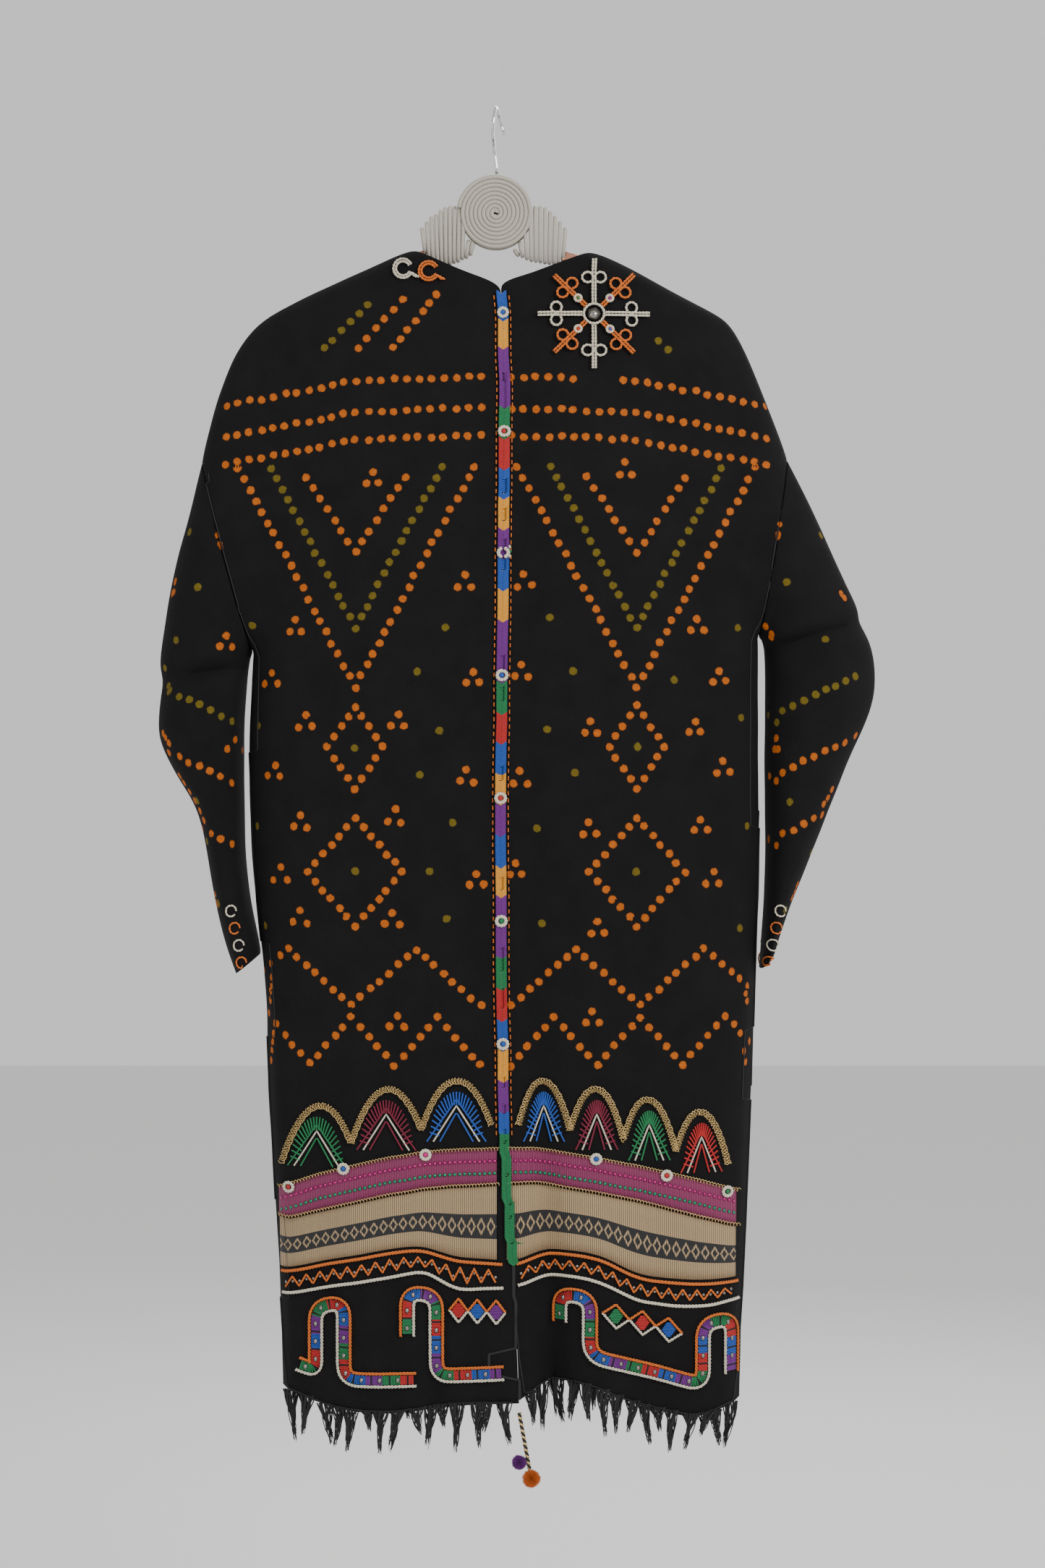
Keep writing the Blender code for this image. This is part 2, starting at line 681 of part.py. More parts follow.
def chain_net(first, last, half, count, thick):
    """A chain of diamonds whose corners meet."""
    first, last = np.array(first, dtype=float), np.array(last, dtype=float)
    along = unit(last - first)
    square = np.array((-along[1], along[0]))
    pitch = np.linalg.norm(last - first) / count
    flat, quads = [], []

    def spot(a, s):
        flat.append(tuple(first + along * a + square * s))
        return len(flat) - 1

    joints = []
    for k in range(count + 1):
        at = k * pitch
        joints.append((spot(at, thick), spot(at + thick, 0), spot(at, -thick), spot(at - thick, 0)))
        quads.append(joints[-1])
    for k in range(count):
        north, east, south, _ = joints[k]
        next_north, _, next_south, next_west = joints[k + 1]
        middle = (k + 0.5) * pitch
        up_out, up_in = spot(middle, half), spot(middle, half - 1.6 * thick)
        down_out, down_in = spot(middle, -half), spot(middle, 1.6 * thick - half)
        quads += [(north, up_out, up_in, east), (up_out, next_north, next_west, up_in),
                  (south, down_out, down_in, east), (down_out, next_south, next_west, down_in)]
    return flat, quads


# Both edges of a curled loop, as radius and distance from the petal's stem.
CURL = ((34.5, 5.0, 39.0, 6.6), (33.8, 7.6, 36.5, 10.6), (30.6, 8.0, 30.2, 10.4))


def flower_net(centre, petals, turn, size):
    """Stems from a round middle, each with two curled loops and a tip."""
    cx, cz = centre
    flat, quads = [], []

    def spot(angle, radius, side_step=0.0):
        c, s = math.cos(angle), math.sin(angle)
        flat.append((cx + (c * radius - s * side_step) * size,
                     cz + (s * radius + c * side_step) * size))
        return len(flat) - 1

    rim = []
    for k in range(8):
        for edge in (-1, 1):
            rim.append(spot(turn + k * math.pi / 4 + edge * math.pi / 16, 13))
    core = []
    for k in range(8):
        for edge in (-1, 1):
            core.append(spot(turn + k * math.pi / 4 + edge * math.pi / 16, 8))
    hub = len(core)
    for k in range(hub):
        quads.append((rim[k], rim[(k + 1) % hub], core[(k + 1) % hub], core[k]))
    for k in range(1, hub - 2, 2):
        quads.append((core[0], core[k], core[k + 1], core[k + 2]))
    for k in petals:
        angle = turn + k * math.pi / 4
        left_root, right_root = rim[2 * k + 1], rim[2 * k]
        left_a, right_a = spot(angle, 27, 2.0), spot(angle, 27, -2.0)
        left_b, right_b = spot(angle, 32, 2.2), spot(angle, 32, -2.2)
        left_c, right_c = spot(angle, 36, 2.2), spot(angle, 36, -2.2)
        quads += [(left_root, left_a, right_a, right_root), (left_a, left_b, right_b, right_a),
                  (left_b, left_c, right_c, right_b)]
        tip_left, tip_right = spot(angle, 54, 1.4), spot(angle, 54, -1.4)
        quads.append((left_c, tip_left, tip_right, right_c))
        for sign, low_root, high_root in ((1, left_b, left_c), (-1, right_b, right_c)):
            low, high = low_root, high_root
            for in_r, in_side, out_r, out_side in CURL:
                inner = spot(angle, in_r, sign * in_side)
                outer = spot(angle, out_r, sign * out_side)
                quads.append((low, high, outer, inner))
                low, high = inner, outer
    return flat, quads


def sweep(path, half_y, half_n, sides):
    """A closed bar of elliptical sections along a path in the XZ plane or in space."""
    path = np.array(path, dtype=float)
    points, faces = [], []
    count = len(path)
    normal = None
    for k in range(count):
        ahead = unit(path[min(k + 1, count - 1)] - path[max(k - 1, 0)])
        if normal is None:
            normal = unit(np.cross(ahead, np.array((0, 1.0, 0))))
        normal = unit(normal - ahead * np.dot(normal, ahead))
        side_way = unit(np.cross(ahead, normal))
        for m in range(sides):
            angle = 2 * math.pi * m / sides
            points.append(path[k] + normal * math.cos(angle) * half_n[k]
                          + side_way * math.sin(angle) * half_y[k])
    for k in range(count - 1):
        for m in range(sides):
            a, b = k * sides + m, k * sides + (m + 1) % sides
            faces += [(a, b, b + sides), (a, b + sides, a + sides)]
    faces.append(tuple(reversed(range(sides))))
    faces.append(tuple((count - 1) * sides + m for m in range(sides)))
    return points, faces


def make_hanger():
    path = resample(HOOK, 6.0)
    size = [1.5] * (len(path) - 1) + [1.1]
    points, faces = sweep(path, size, size, 8)
    add("hanger_hook", points, faces, CHROME, 0.15, 1.0)

    turns, sides = 8, 20
    profile = []
    for k in range(turns):
        outer = DISC["radius"] * (1 - k / turns)
        profile.append((outer - DISC["radius"] / turns * 0.1, 0.0))
        profile.append((outer - DISC["radius"] / turns * 0.5, 1.0))
    points, faces = [], []
    levels = []
    for way in (-1, 1):
        rings = profile if way < 0 else profile[::3]
        level = [(r, way * (DISC["half"] + DISC["ridge"] * h)) for r, h in rings]
        levels.append(level)
    loop = list(reversed(levels[0])) + [(DISC["radius"], 0.0)] + levels[1]
    for radius, y in loop:
        for m in range(sides):
            angle = 2 * math.pi * m / sides
            points.append((DISC["x"] + radius * math.cos(angle), y,
                           DISC["z"] + radius * math.sin(angle)))
    for k in range(len(loop) - 1):
        for m in range(sides):
            a, b = k * sides + m, k * sides + (m + 1) % sides
            faces.append((a, b, b + sides, a + sides))
    first, final = len(points), len(points) + 1
    points += [(DISC["x"], loop[0][1], DISC["z"]), (DISC["x"], loop[-1][1], DISC["z"])]
    end = (len(loop) - 1) * sides
    for m in range(sides):
        faces.append((first, (m + 1) % sides, m))
        faces.append((final, end + m, end + (m + 1) % sides))
    add("hanger_disc", points, faces, CORD, 0.85)

    for side in (-1, 1):
        word = "left" if side < 0 else "right"
        points, faces = [], []
        rows = WRAPS[side]
        radii = np.linspace(rows[0][0], rows[-1][0], 15)
        arc = 5
        for k, radius in enumerate(radii):
            upper = math.radians(table(rows, radius, 1))
            lower = math.radians(table(rows, radius, 2))
            thick = 5.9 if k % 2 else 5.0
            for way in (-1, 1):
                for m in range(arc):
                    share = m / (arc - 1) if way < 0 else 1 - m / (arc - 1)
                    angle = upper + (lower - upper) * share
                    ends = thick * (0.45 if m in (0, arc - 1) else 1.0)
                    points.append((DISC["x"] + radius * math.cos(angle), way * ends,
                                   DISC["z"] + radius * math.sin(angle)))
        ring = 2 * arc
        for k in range(len(radii) - 1):
            for m in range(ring):
                a, b = k * ring + m, k * ring + (m + 1) % ring
                faces.append((a, b, b + ring, a + ring))
        for k in (0, len(radii) - 1):
            for m in range(arc - 1):
                a, b = k * ring + m, k * ring + m + 1
                c, d = k * ring + ring - 2 - m, k * ring + ring - 1 - m
                faces.append((a, b, c, d) if k else (d, c, b, a))
        add(f"hanger_wrap_{word}", points, faces, CORD, 0.85)

        top = [(x, z) for u, x, z in TOPS[("back", side)] if 0.4 <= u <= 0.88]
        centre = []
        for k, (x, z) in enumerate(top):
            ahead = unit(np.array(top[min(k + 1, len(top) - 1)], dtype=float)
                         - np.array(top[max(k - 1, 0)], dtype=float))
            centre.append((x + ahead[1] * side * 11.6, z - ahead[0] * side * 11.6))
        last = centre[-1]
        centre[-1] = (last[0] - side * 6, last[1] + 3)
        angle = math.radians((rows[-1][1] + rows[-1][2]) / 2)
        reach = rows[-1][0] + 1.7
        start = (DISC["x"] + reach * math.cos(angle), DISC["z"] + reach * math.sin(angle))
        path = [(start[0], 0, start[1])] + [(x, 0, z) for x, z in centre[1:]]
        path = resample(path, 14.0)
        count = len(path)
        heights = [6.4, 6.4] + [8.0] * (count - 4) + [6.8, 3.0]
        depths = [3.6, 3.6] + [4.6] * (count - 4) + [4.0, 2.0]
        points, faces = sweep(path, depths, heights, 10)
        add(f"hanger_arm_{word}", points, faces, COPPER, 0.3, 1.0)


def make_band(name, panel, rows, height, color, roughness, metallic):
    """A band from the panel's own points, moved out."""
    grid, normals = panel
    first, last = rows
    cut = slice(first, last + 1)
    out = normals[cut, :-1]
    low = grid[cut, :-1] + out * 0.35
    high = grid[cut, :-1] + out * (0.35 + height)
    points, faces = shell(high, low, False)
    add(name, points, faces, color, roughness, metallic)


def make_fringe(name, grid, normals, way, locks):
    """A strip under the hem with tapered locks of loose warp ends grown from it."""
    hem, inward = grid[-1], normals[-1]
    run = [0.0]
    for a, b in zip(hem, hem[1:]):
        run.append(run[-1] + float(np.linalg.norm(b - a)))
    edges = []
    for k in range(locks):
        middle = (k + 0.5) / locks * run[-1]
        wide = run[-1] / locks * (0.34 + 0.06 * math.sin(k * 2.3))
        edges += [middle - wide, middle + wide]
    edges[0], edges[-1] = 1.5, run[-1] - 1.5
    count = len(edges)

    def at(place):
        outer = np.array([np.interp(place, run, hem[:, k]) for k in range(3)])
        normal = unit(np.array([np.interp(place, run, inward[:, k]) for k in range(3)]))
        return outer, normal

    points, faces = [], []
    for place in edges:
        outer, normal = at(place)
        around = [at(min(max(place + d, 0), run[-1]))[0][2] for d in range(-14, 15, 2)]
        outer[2] = min(around)
        for down in (0.35, 5.5):
            low = np.array((0, 0, -down))
            points += [outer + low, outer + low - normal * WALL]
    for k in range(count - 1):
        a, b = 4 * k, 4 * (k + 1)
        faces += [(a, b, b + 2, a + 2), (a + 1, a + 3, b + 3, b + 1), (a, a + 1, b + 1, b)]
        if k % 2:
            faces.append((a + 2, b + 2, b + 3, a + 3))
    faces += [(0, 2, 3, 1), (b, b + 1, b + 3, b + 2)]
    for k in range(locks):
        a, b = 8 * k + 2, 8 * k + 6
        ring = (a, b, b + 1, a + 1)
        middle = np.mean([points[r] for r in ring], axis=0)
        ahead = unit(points[b] - points[a])
        _, normal = at((edges[2 * k] + edges[2 * k + 1]) / 2)
        long = 27 + 13 * math.sin(k * 1.9 + 0.7) + 6 * math.sin(k * 4.1)
        lean = 5 * math.sin(k * 2.7 + 1.1)
        half = (edges[2 * k + 1] - edges[2 * k]) / 2
        for share, wide, deep in ((0.35, half * 0.8, 2.6), (0.75, half * 0.55, 2.2), (1, 0.9, 0.9)):
            spot = middle + np.array((0, 0, -long * share)) + ahead * lean * share ** 2
            start = len(points)
            points += [spot - ahead * wide + normal * deep, spot + ahead * wide + normal * deep,
                       spot + ahead * wide - normal * deep, spot - ahead * wide - normal * deep]
            new = (start, start + 1, start + 2, start + 3)
            for m in range(4):
                faces.append((ring[m], ring[(m + 1) % 4], new[(m + 1) % 4], new[m]))
            ring = new
        faces.append(ring)
    add(name, points, faces, WOOL, 0.95)


def make_braid(tree_left, tree_right):
    """The couched braid over the centre seam, wider and higher at each button."""
    marks = [(-173.0, 3.6, 2.4)]
    z = -182.0
    buttons = list(SEAM_BUTTONS)
    steps = ((6.6, 3.8, 2.4), (5.2, 4.9, 3.8), (2.4, 6.3, 3.8), (-2.4, 6.3, 3.8),
             (-5.2, 4.9, 3.8), (-6.6, 3.8, 2.4))
    while z > -958:
        near = [b for b in buttons if abs(z - b) < 14]
        if near:
            marks += [(near[0] + dz, half, high) for dz, half, high in steps]
            buttons.remove(near[0])
            z = near[0] - 22
            continue
        marks.append((z, 3.8, 2.4))
        z -= 27
    marks.append((-958.0, 3.6, 2.4))
    points, faces = [], []
    for k, (level, half, high) in enumerate(marks):
        middle = table(SPINE, level, 1)
        for off in (-half, half):
            tree = tree_left if off < 0 else tree_right
            point, _ = surface(tree, middle + off, level)
            centre, _ = surface(tree, middle + math.copysign(0.4, off), level)
            y = min(point[1], centre[1]) - LIFT - 0.2
            points += [(middle + off, y, level), (middle + off, y - high, level)]
        if k:
            a, b = 4 * (k - 1), 4 * k
            faces += [(a, b, b + 1, a + 1), (a + 1, b + 1, b + 3, a + 3), (a + 3, b + 3, b + 2, a + 2),
                      (a + 2, b + 2, b, a)]
    faces += [(0, 1, 3, 2), (b, b + 2, b + 3, b + 1)]
    add("seam_braid", points, faces, AMBER, 0.8)


def make_button(name, tree, x, z, color):
    point, normal = surface(tree, x, z)
    base = point + normal * 1.75
    ahead = unit(np.cross(normal, np.array((0, 0, 1.0))))
    up = np.cross(ahead, normal)
    points, faces = [], []
    for radius, high in ((6.0, 0.0), (6.0, 1.4), (4.6, 2.4)):
        for m in range(8):
            angle = 2 * math.pi * (m + 0.5) / 8
            points.append(base + (ahead * math.cos(angle) + up * math.sin(angle)) * radius
                          + normal * high)
    for k in range(2):
        for m in range(8):
            a, b = 8 * k + m, 8 * k + (m + 1) % 8
            faces.append((a, b, b + 8, a + 8))
    faces += [tuple(reversed(range(8))), tuple(range(16, 24))]
    add(name, points, faces, color, 0.3)


def ball(name, centre, radius, color):
    points, faces = [], []
    rings, sides = 4, 8
    for k in range(1, rings):
        polar = math.pi * k / rings
        for m in range(sides):
            angle = 2 * math.pi * m / sides
            points.append((centre[0] + radius * math.sin(polar) * math.cos(angle),
                           centre[1] + radius * math.sin(polar) * math.sin(angle),
                           centre[2] + radius * math.cos(polar)))
    top, foot = len(points), len(points) + 1
    points += [(centre[0], centre[1], centre[2] + radius), (centre[0], centre[1], centre[2] - radius)]
    for k in range(rings - 2):
        for m in range(sides):
            a, b = k * sides + m, k * sides + (m + 1) % sides
            faces.append((a, b, b + sides, a + sides))
    end = (rings - 2) * sides
    for m in range(sides):
        faces.append((top, (m + 1) % sides, m))
        faces.append((foot, end + m, end + (m + 1) % sides))
    add(name, points, faces, color, 0.95)


def line_path(grid, row, first, last, step):
    """The x and z of one row of a panel between two shares of its columns."""
    flat = [(p[0], p[2]) for p in grid[row]][first:last]
    return resample(flat, step)


panels = {}
for panel_face in ("back", "front"):
    for panel_side in (-1, 1):
        panels[(panel_face, panel_side)] = make_panel(panel_face, panel_side)
for panel_side in (-1, 1):
    make_sleeve(panel_side)
make_hanger()

BORDER_TOP = len(UPPER_ROWS) + len(MIDDLE_ROWS)
for (panel_face, panel_side), (grid, normals, tree) in panels.items():
    word = "left" if panel_side < 0 else "right"
    way = -1 if panel_face == "back" else 1
    make_band(f"ribbon_{panel_face}_{word}", (grid, normals),
              (BORDER_TOP, BORDER_TOP + 1), 1.0, PINK, 0.4, 0.3)
    make_fringe(f"fringe_{panel_face}_{word}", grid, normals, way, 14 if way < 0 else 7)
    for line, row, color in (("orange", ROW_ORANGE, ORANGE), ("cream", ROW_CREAM, CREAM)):
        path = line_path(grid, BORDER_TOP + row, 0, len(grid[0]) - 1, 11.0 if way < 0 else 17.0)
        path[0, 0] += panel_side * 3
        flat, quads = ribbon_net(path, 2.6)
        lay(f"line_{line}_{panel_face}_{word}", tree, flat, quads, 2.4, color, way=way)

make_braid(panels[("back", -1)][2], panels[("back", 1)][2])

for panel_side in (-1, 1):
    word = "left" if panel_side < 0 else "right"
    grid, normals, tree = panels[("back", panel_side)]
    path = scallop_path(grid, *SCALLOPS[panel_side])
    flat, quads = ribbon_net(path, 2.0)
    lay(f"gold_scallop_{word}", tree, flat, quads, 2.6, GOLD, 0.35, 0.8)

    upper = line_path(grid, BORDER_TOP + ROW_ORANGE, 0, len(grid[0]) - 1, 6.5)
    lower = line_path(grid, BORDER_TOP + ROW_CREAM, 0, len(grid[0]) - 1, 6.5)
    zigzag = []
    for k in range(len(upper)):
        x = upper[k][0] + panel_side * 5
        high = float(np.interp(abs(x), np.abs(upper[:, 0]), upper[:, 1])) - 6.6
        low = float(np.interp(abs(x), np.abs(lower[:, 0]), lower[:, 1])) + 6.6
        zigzag.append((x, high if k % 2 else low))
    flat, quads = ribbon_net(zigzag[:-2], 1.3)
    lay(f"zigzag_{word}", tree, flat, quads, 1.8, ORANGE)

for cane, *sizes in CANES:
    grid, _, tree = panels[("back", -1 if "left" in cane else 1)]
    path = resample(cane_path(grid, *sizes), CANE_STEP)
    flat, quads = ladder_net(path, CANE_HALF_WIDTH, CANE_RAIL, 2)
    lay(cane, tree, flat, quads, 2.6, ORANGE, lift=STEEP_LIFT)
for chain, (first, last, half, count) in CHAINS.items():
    tree = panels[("back", -1 if "left" in chain else 1)][2]
    flat, quads = chain_net(first, last, half, count, 2.2)
    lay(chain, tree, flat, quads, 2.0, ORANGE)

flat, quads = flower_net((91, -196), range(8), math.pi / 2, 0.98)
lay("rosette_right", panels[("back", 1)][2], flat, quads, 2.6, CREAM, lift=STEEP_LIFT)

for name, (x, z), color in (("rosette_left_cream", (-87, -152.5), CREAM),
                            ("rosette_left_orange", (-63, -155), ORANGE)):
    loop = [(x + 8 * math.cos(math.radians(a)), z + 8 * math.sin(math.radians(a)))
            for a in range(30, 331, 30)]
    loop.append((loop[-1][0] + 7, loop[-1][1] - 7))
    flat, quads = ribbon_net(loop, 1.6)
    lay(name, panels[("back", -1)][2], flat, quads, 2.4, color)

for name, x, z, color in RIBBON_BUTTONS:
    make_button(name, panels[("back", -1 if x < 0 else 1)][2], x, z, color)

tail_path = resample([(21.5, -55, -1214.0), (24, -57, -1232), (29, -56, -1250), (31, -55, -1265)], 8.0)
points, faces = sweep(tail_path, [2.2] * len(tail_path), [2.2] * len(tail_path), 6)
add("tail_cord", points, faces, GOLD, 0.7)
ball("tail_ball_upper", (21.4, -55.8, -1259), 6.8, PURPLE)
ball("tail_ball_lower", (32.5, -55, -1274.2), 8.5, ORANGE)
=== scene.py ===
# %% [markdown]
# This lesson dresses a black wool coat that hangs on a cord wound hanger.
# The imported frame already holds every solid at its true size: four panels,
# two sleeves, the trims of the border, the fringe and the hanger. Each step
# below turns one of them into the real thing: wool with resist dyed dots,
# couched cords, metallic coil, ribbon, mirror work and loose warp ends.

import json
import math
import random

import bmesh
import bpy
import numpy as np
from mathutils import Matrix, Vector
from mathutils.bvhtree import BVHTree
from mathutils.kdtree import KDTree

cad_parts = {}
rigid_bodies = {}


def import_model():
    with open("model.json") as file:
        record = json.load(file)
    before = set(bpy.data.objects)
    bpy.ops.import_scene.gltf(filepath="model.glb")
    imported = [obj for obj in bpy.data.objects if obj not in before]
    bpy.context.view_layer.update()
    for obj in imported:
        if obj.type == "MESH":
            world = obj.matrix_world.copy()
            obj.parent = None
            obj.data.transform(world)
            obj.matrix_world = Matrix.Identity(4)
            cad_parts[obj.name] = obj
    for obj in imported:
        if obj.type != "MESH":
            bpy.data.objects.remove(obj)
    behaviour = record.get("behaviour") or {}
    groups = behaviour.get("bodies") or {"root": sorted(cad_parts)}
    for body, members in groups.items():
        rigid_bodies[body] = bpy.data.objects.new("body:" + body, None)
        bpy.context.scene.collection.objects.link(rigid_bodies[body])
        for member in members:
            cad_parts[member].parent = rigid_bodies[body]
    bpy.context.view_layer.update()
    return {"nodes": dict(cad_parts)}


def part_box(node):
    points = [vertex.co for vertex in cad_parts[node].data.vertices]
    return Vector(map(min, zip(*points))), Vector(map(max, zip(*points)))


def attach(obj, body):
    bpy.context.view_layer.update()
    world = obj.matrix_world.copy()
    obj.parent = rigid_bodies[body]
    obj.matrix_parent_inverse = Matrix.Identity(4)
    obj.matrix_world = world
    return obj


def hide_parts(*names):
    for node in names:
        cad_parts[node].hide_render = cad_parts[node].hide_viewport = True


for leftover in list(bpy.data.objects):
    bpy.data.objects.remove(leftover, do_unlink=True)

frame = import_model()
print("frame", len(frame["nodes"]), "nodes")

MM = 0.001
BACK, FRONT = -1, 1           # which way a side of the coat faces along Y
LEFT, RIGHT = -1, 1

# %% [markdown]
# Shader maths reads better as plain signs than as a web of nodes. Thread
# wraps one socket, so that mask * 0.5 + 1 adds its Math nodes by itself, and
# Finish makes a material whose other nodes all come from one method.

# %% Shader helpers


class Thread:
    """One output of a material's node, with the usual signs for maths."""

    def __init__(self, finish, socket):
        self.finish, self.socket = finish, socket

    def _math(self, operation, first, second=0.0):
        return self.finish.node("Math", {"operation": operation}, [first, second])

    def __add__(self, other):
        return self._math("ADD", self, other)

    def __sub__(self, other):
        return self._math("SUBTRACT", self, other)

    def __rsub__(self, other):
        return self._math("SUBTRACT", other, self)

    def __mul__(self, other):
        return self._math("MULTIPLY", self, other)

    def __truediv__(self, other):
        return self._math("DIVIDE", self, other)

    def __lt__(self, other):
        return self._math("LESS_THAN", self, other)

    def __gt__(self, other):
        return self._math("GREATER_THAN", self, other)

    __radd__ = __add__
    __rmul__ = __mul__

    def wave(self):
        return self._math("SINE", self)

    def fraction(self):
        return self._math("FRACT", self)

    def size(self):
        return self._math("ABSOLUTE", self)


class Finish:
    """A material named for what it is, with constants set on its own sockets."""

    def __init__(self, name, color=(0.5, 0.5, 0.5), roughness=0.8, metallic=0.0, **fixed):
        self.material = bpy.data.materials.new(name)
        self.material.use_nodes = True
        self.tree = self.material.node_tree
        self.shader = self.tree.nodes["Principled BSDF"]
        self.feed("Base Color", (*color, 1))
        self.feed("Roughness", roughness)
        self.feed("Metallic", metallic)
        for socket, value in fixed.items():
            self.feed(socket.replace("_", " "), value)

    def _plug(self, socket, value):
        if isinstance(value, Thread):
            self.tree.links.new(value.socket, socket)
        else:
            socket.default_value = value

    def node(self, kind, settings=None, sockets=None, output=0):
        made = self.tree.nodes.new("ShaderNode" + kind)
        for name, value in (settings or {}).items():
            if name == "stops":
                ramp = made.color_ramp
                while len(ramp.elements) < len(value):
                    ramp.elements.new(1)
                for element, (place, color) in zip(ramp.elements, value):
                    element.position, element.color = place, (*color, 1)
            else:
                setattr(made, name, value)
        pairs = sockets.items() if isinstance(sockets, dict) else enumerate(sockets or [])
        for name, value in pairs:
            self._plug(made.inputs[name], value)
        return Thread(self, made.outputs[output])

    def feed(self, socket, value):
        self._plug(self.shader.inputs[socket], value)

    def mix(self, share, first, second):
        """A blend of two colours."""
        return self.node("Mix", {"data_type": "RGBA"}, {0: share, 6: first, 7: second}, output=2)

    def place(self):
        return self.node("TexCoord", output=3)

    def noise(self, scale, detail=2.0, where=None):
        return self.node("TexNoise", {}, {"Vector": where or self.place(), "Scale": scale,
                                          "Detail": detail})

    def bump(self, height, distance, strength=1.0):
        normal = self.node("Bump", {}, {"Height": height, "Distance": distance,
                                        "Strength": strength})
        self.feed("Normal", normal)


print("shader helpers ready")

# %% [markdown]
# The wool is a black twill. Dots of orange and olive were left by tying the
# cloth before it was dyed, so their edges are soft and uneven. Every corner
# of the cloth carries the way to its nearest dot, and the shader turns that
# distance into a round patch, so a dot stays round on a curved sleeve.

# %% Wool with resist dyed dots
BLACK_WOOL = (0.0055, 0.0050, 0.0052)
DOT_RADIUS = 3.7 * MM
TWILL = 2 * math.pi / (1.1 * MM)      # one diagonal rib for each 1.1 mm


def wool_finish():
    wool = Finish("black_wool", roughness=0.92, Specular_IOR_Level=0.12,
                  Sheen_Weight=0.035, Sheen_Roughness=0.45, Sheen_Tint=(0.30, 0.28, 0.30, 1))
    place = wool.place()
    apart = wool.node("SeparateXYZ", {}, [place])
    across, away, up = (Thread(wool, apart.socket.node.outputs[k]) for k in range(3))
    rib = ((across + away + up * 0.9) * TWILL).wave()
    warp = ((across + away) * (TWILL * 0.8)).wave()
    fuzz = wool.noise(420.0, 4.0)
    patchy = wool.noise(38.0, 3.0)

    way = wool.node("Attribute", {"attribute_name": "way_to_dot"}, output=1)
    reach = wool.node("VectorMath", {"operation": "LENGTH"}, [way], output=1)
    dye = wool.node("Attribute", {"attribute_name": "dye"}, output=2)
    ragged = wool.noise(560.0, 3.0) * 0.9 + wool.noise(170.0, 1.0) * 0.8
    edge = reach / DOT_RADIUS + (ragged - 0.85) * 0.55
    dot = wool.node("MapRange", {"interpolation_type": "SMOOTHSTEP"},
                    {"Value": edge, "From Min": 0.80, "From Max": 1.10, "To Min": 1.0,
                     "To Max": 0.0})
    dot = dot * (dye > 0.0)
    orange = wool.mix(fuzz, (0.34, 0.060, 0.004, 1), (0.66, 0.175, 0.016, 1))
    olive = wool.mix(fuzz, (0.10, 0.070, 0.006, 1), (0.20, 0.145, 0.016, 1))
    color = wool.mix(dye > 1.5, orange, olive)
    dark = wool.mix(patchy, (*BLACK_WOOL, 1), (0.011, 0.010, 0.0105, 1))
    wool.feed("Base Color", wool.mix(dot * (rib * 0.10 + 0.90), dark, color))
    wool.bump(rib * 0.5 + warp * 0.2 + fuzz * 0.9, 0.35 * MM, 0.8)
    return wool.material


WOOL = wool_finish()
print("wool:", WOOL.name)

# %% [markdown]
# A panel of cloth starts from its own solid. The solid is a coarse wall, so
# a subdivision surface turns it into soft cloth whose rims stay crisp. The
# large folds are the solid's own, and slow waves add small hollows.

# %% Cloth from the solids
CLOTH_LEVELS = 3
HOLLOWS = (
    # reach in millimetres, waves along x and along z in radians a metre, start
    (0.30, 31.0, 17.0, 0.4), (0.22, -23.0, 37.0, 1.9), (0.12, 71.0, -53.0, 3.1),
    (0.08, 97.0, 113.0, 5.2))
RIM_ANGLE = 1.3               # a wall's rims stay crisp, so that seams stay closed


def finished(name, mesh, materials, smooth=True):
    obj = bpy.data.objects.new(name, mesh)
    bpy.context.scene.collection.objects.link(obj)
    for material in materials:
        mesh.materials.append(material)
    if smooth:
        mesh.shade_smooth()
    return obj


def baked(obj):
    """The object's mesh with its modifiers in it."""
    graph = bpy.context.evaluated_depsgraph_get()
    mesh = bpy.data.meshes.new_from_object(obj.evaluated_get(graph), depsgraph=graph)
    obj.modifiers.clear()
    obj.data = mesh
    return obj


def hollows(spots):
    """Small uneven hollows, the same for every piece and in every run."""
    moved = np.zeros_like(spots)
    for reach, along_x, along_z, start in HOLLOWS:
        wave = spots[:, 0] * along_x + spots[:, 2] * along_z + start
        moved += reach * MM * np.stack([np.sin(wave), np.sin(wave * 1.3 + 2.0), np.cos(wave)], axis=1)
    return moved


def soft_cloth(node):
    build = bmesh.new()
    build.from_mesh(bpy.data.objects[node].data)
    bmesh.ops.remove_doubles(build, verts=build.verts, dist=0.01 * MM)
    bmesh.ops.join_triangles(build, faces=build.faces, angle_face_threshold=3.0,
                             angle_shape_threshold=3.0)
    crease = build.edges.layers.float.new("crease_edge")
    for rim in build.edges:
        if len(rim.link_faces) == 2 and rim.calc_face_angle() > RIM_ANGLE:
            rim[crease] = 1.0
    mesh = bpy.data.meshes.new("coat_" + node)
    build.to_mesh(mesh)
    build.free()
    obj = finished("coat_" + node, mesh, [WOOL])
    layer = obj.modifiers.new("soft", "SUBSURF")
    layer.levels = layer.render_levels = CLOTH_LEVELS
    baked(obj)
    spots = np.empty(len(obj.data.vertices) * 3)
    obj.data.vertices.foreach_get("co", spots)
    spots = spots.reshape(-1, 3)
    spots += hollows(spots)
    obj.data.vertices.foreach_set("co", spots.ravel())
    obj.data.update()
    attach(obj, "root")
    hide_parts(node)
    return obj


PANELS = ("back_left", "back_right", "front_left", "front_right")
SLEEVES = ("sleeve_left", "sleeve_right")
cloth = {node: soft_cloth(node) for node in PANELS + SLEEVES}
for node, piece in cloth.items():
    print(node, len(piece.data.polygons), "faces")


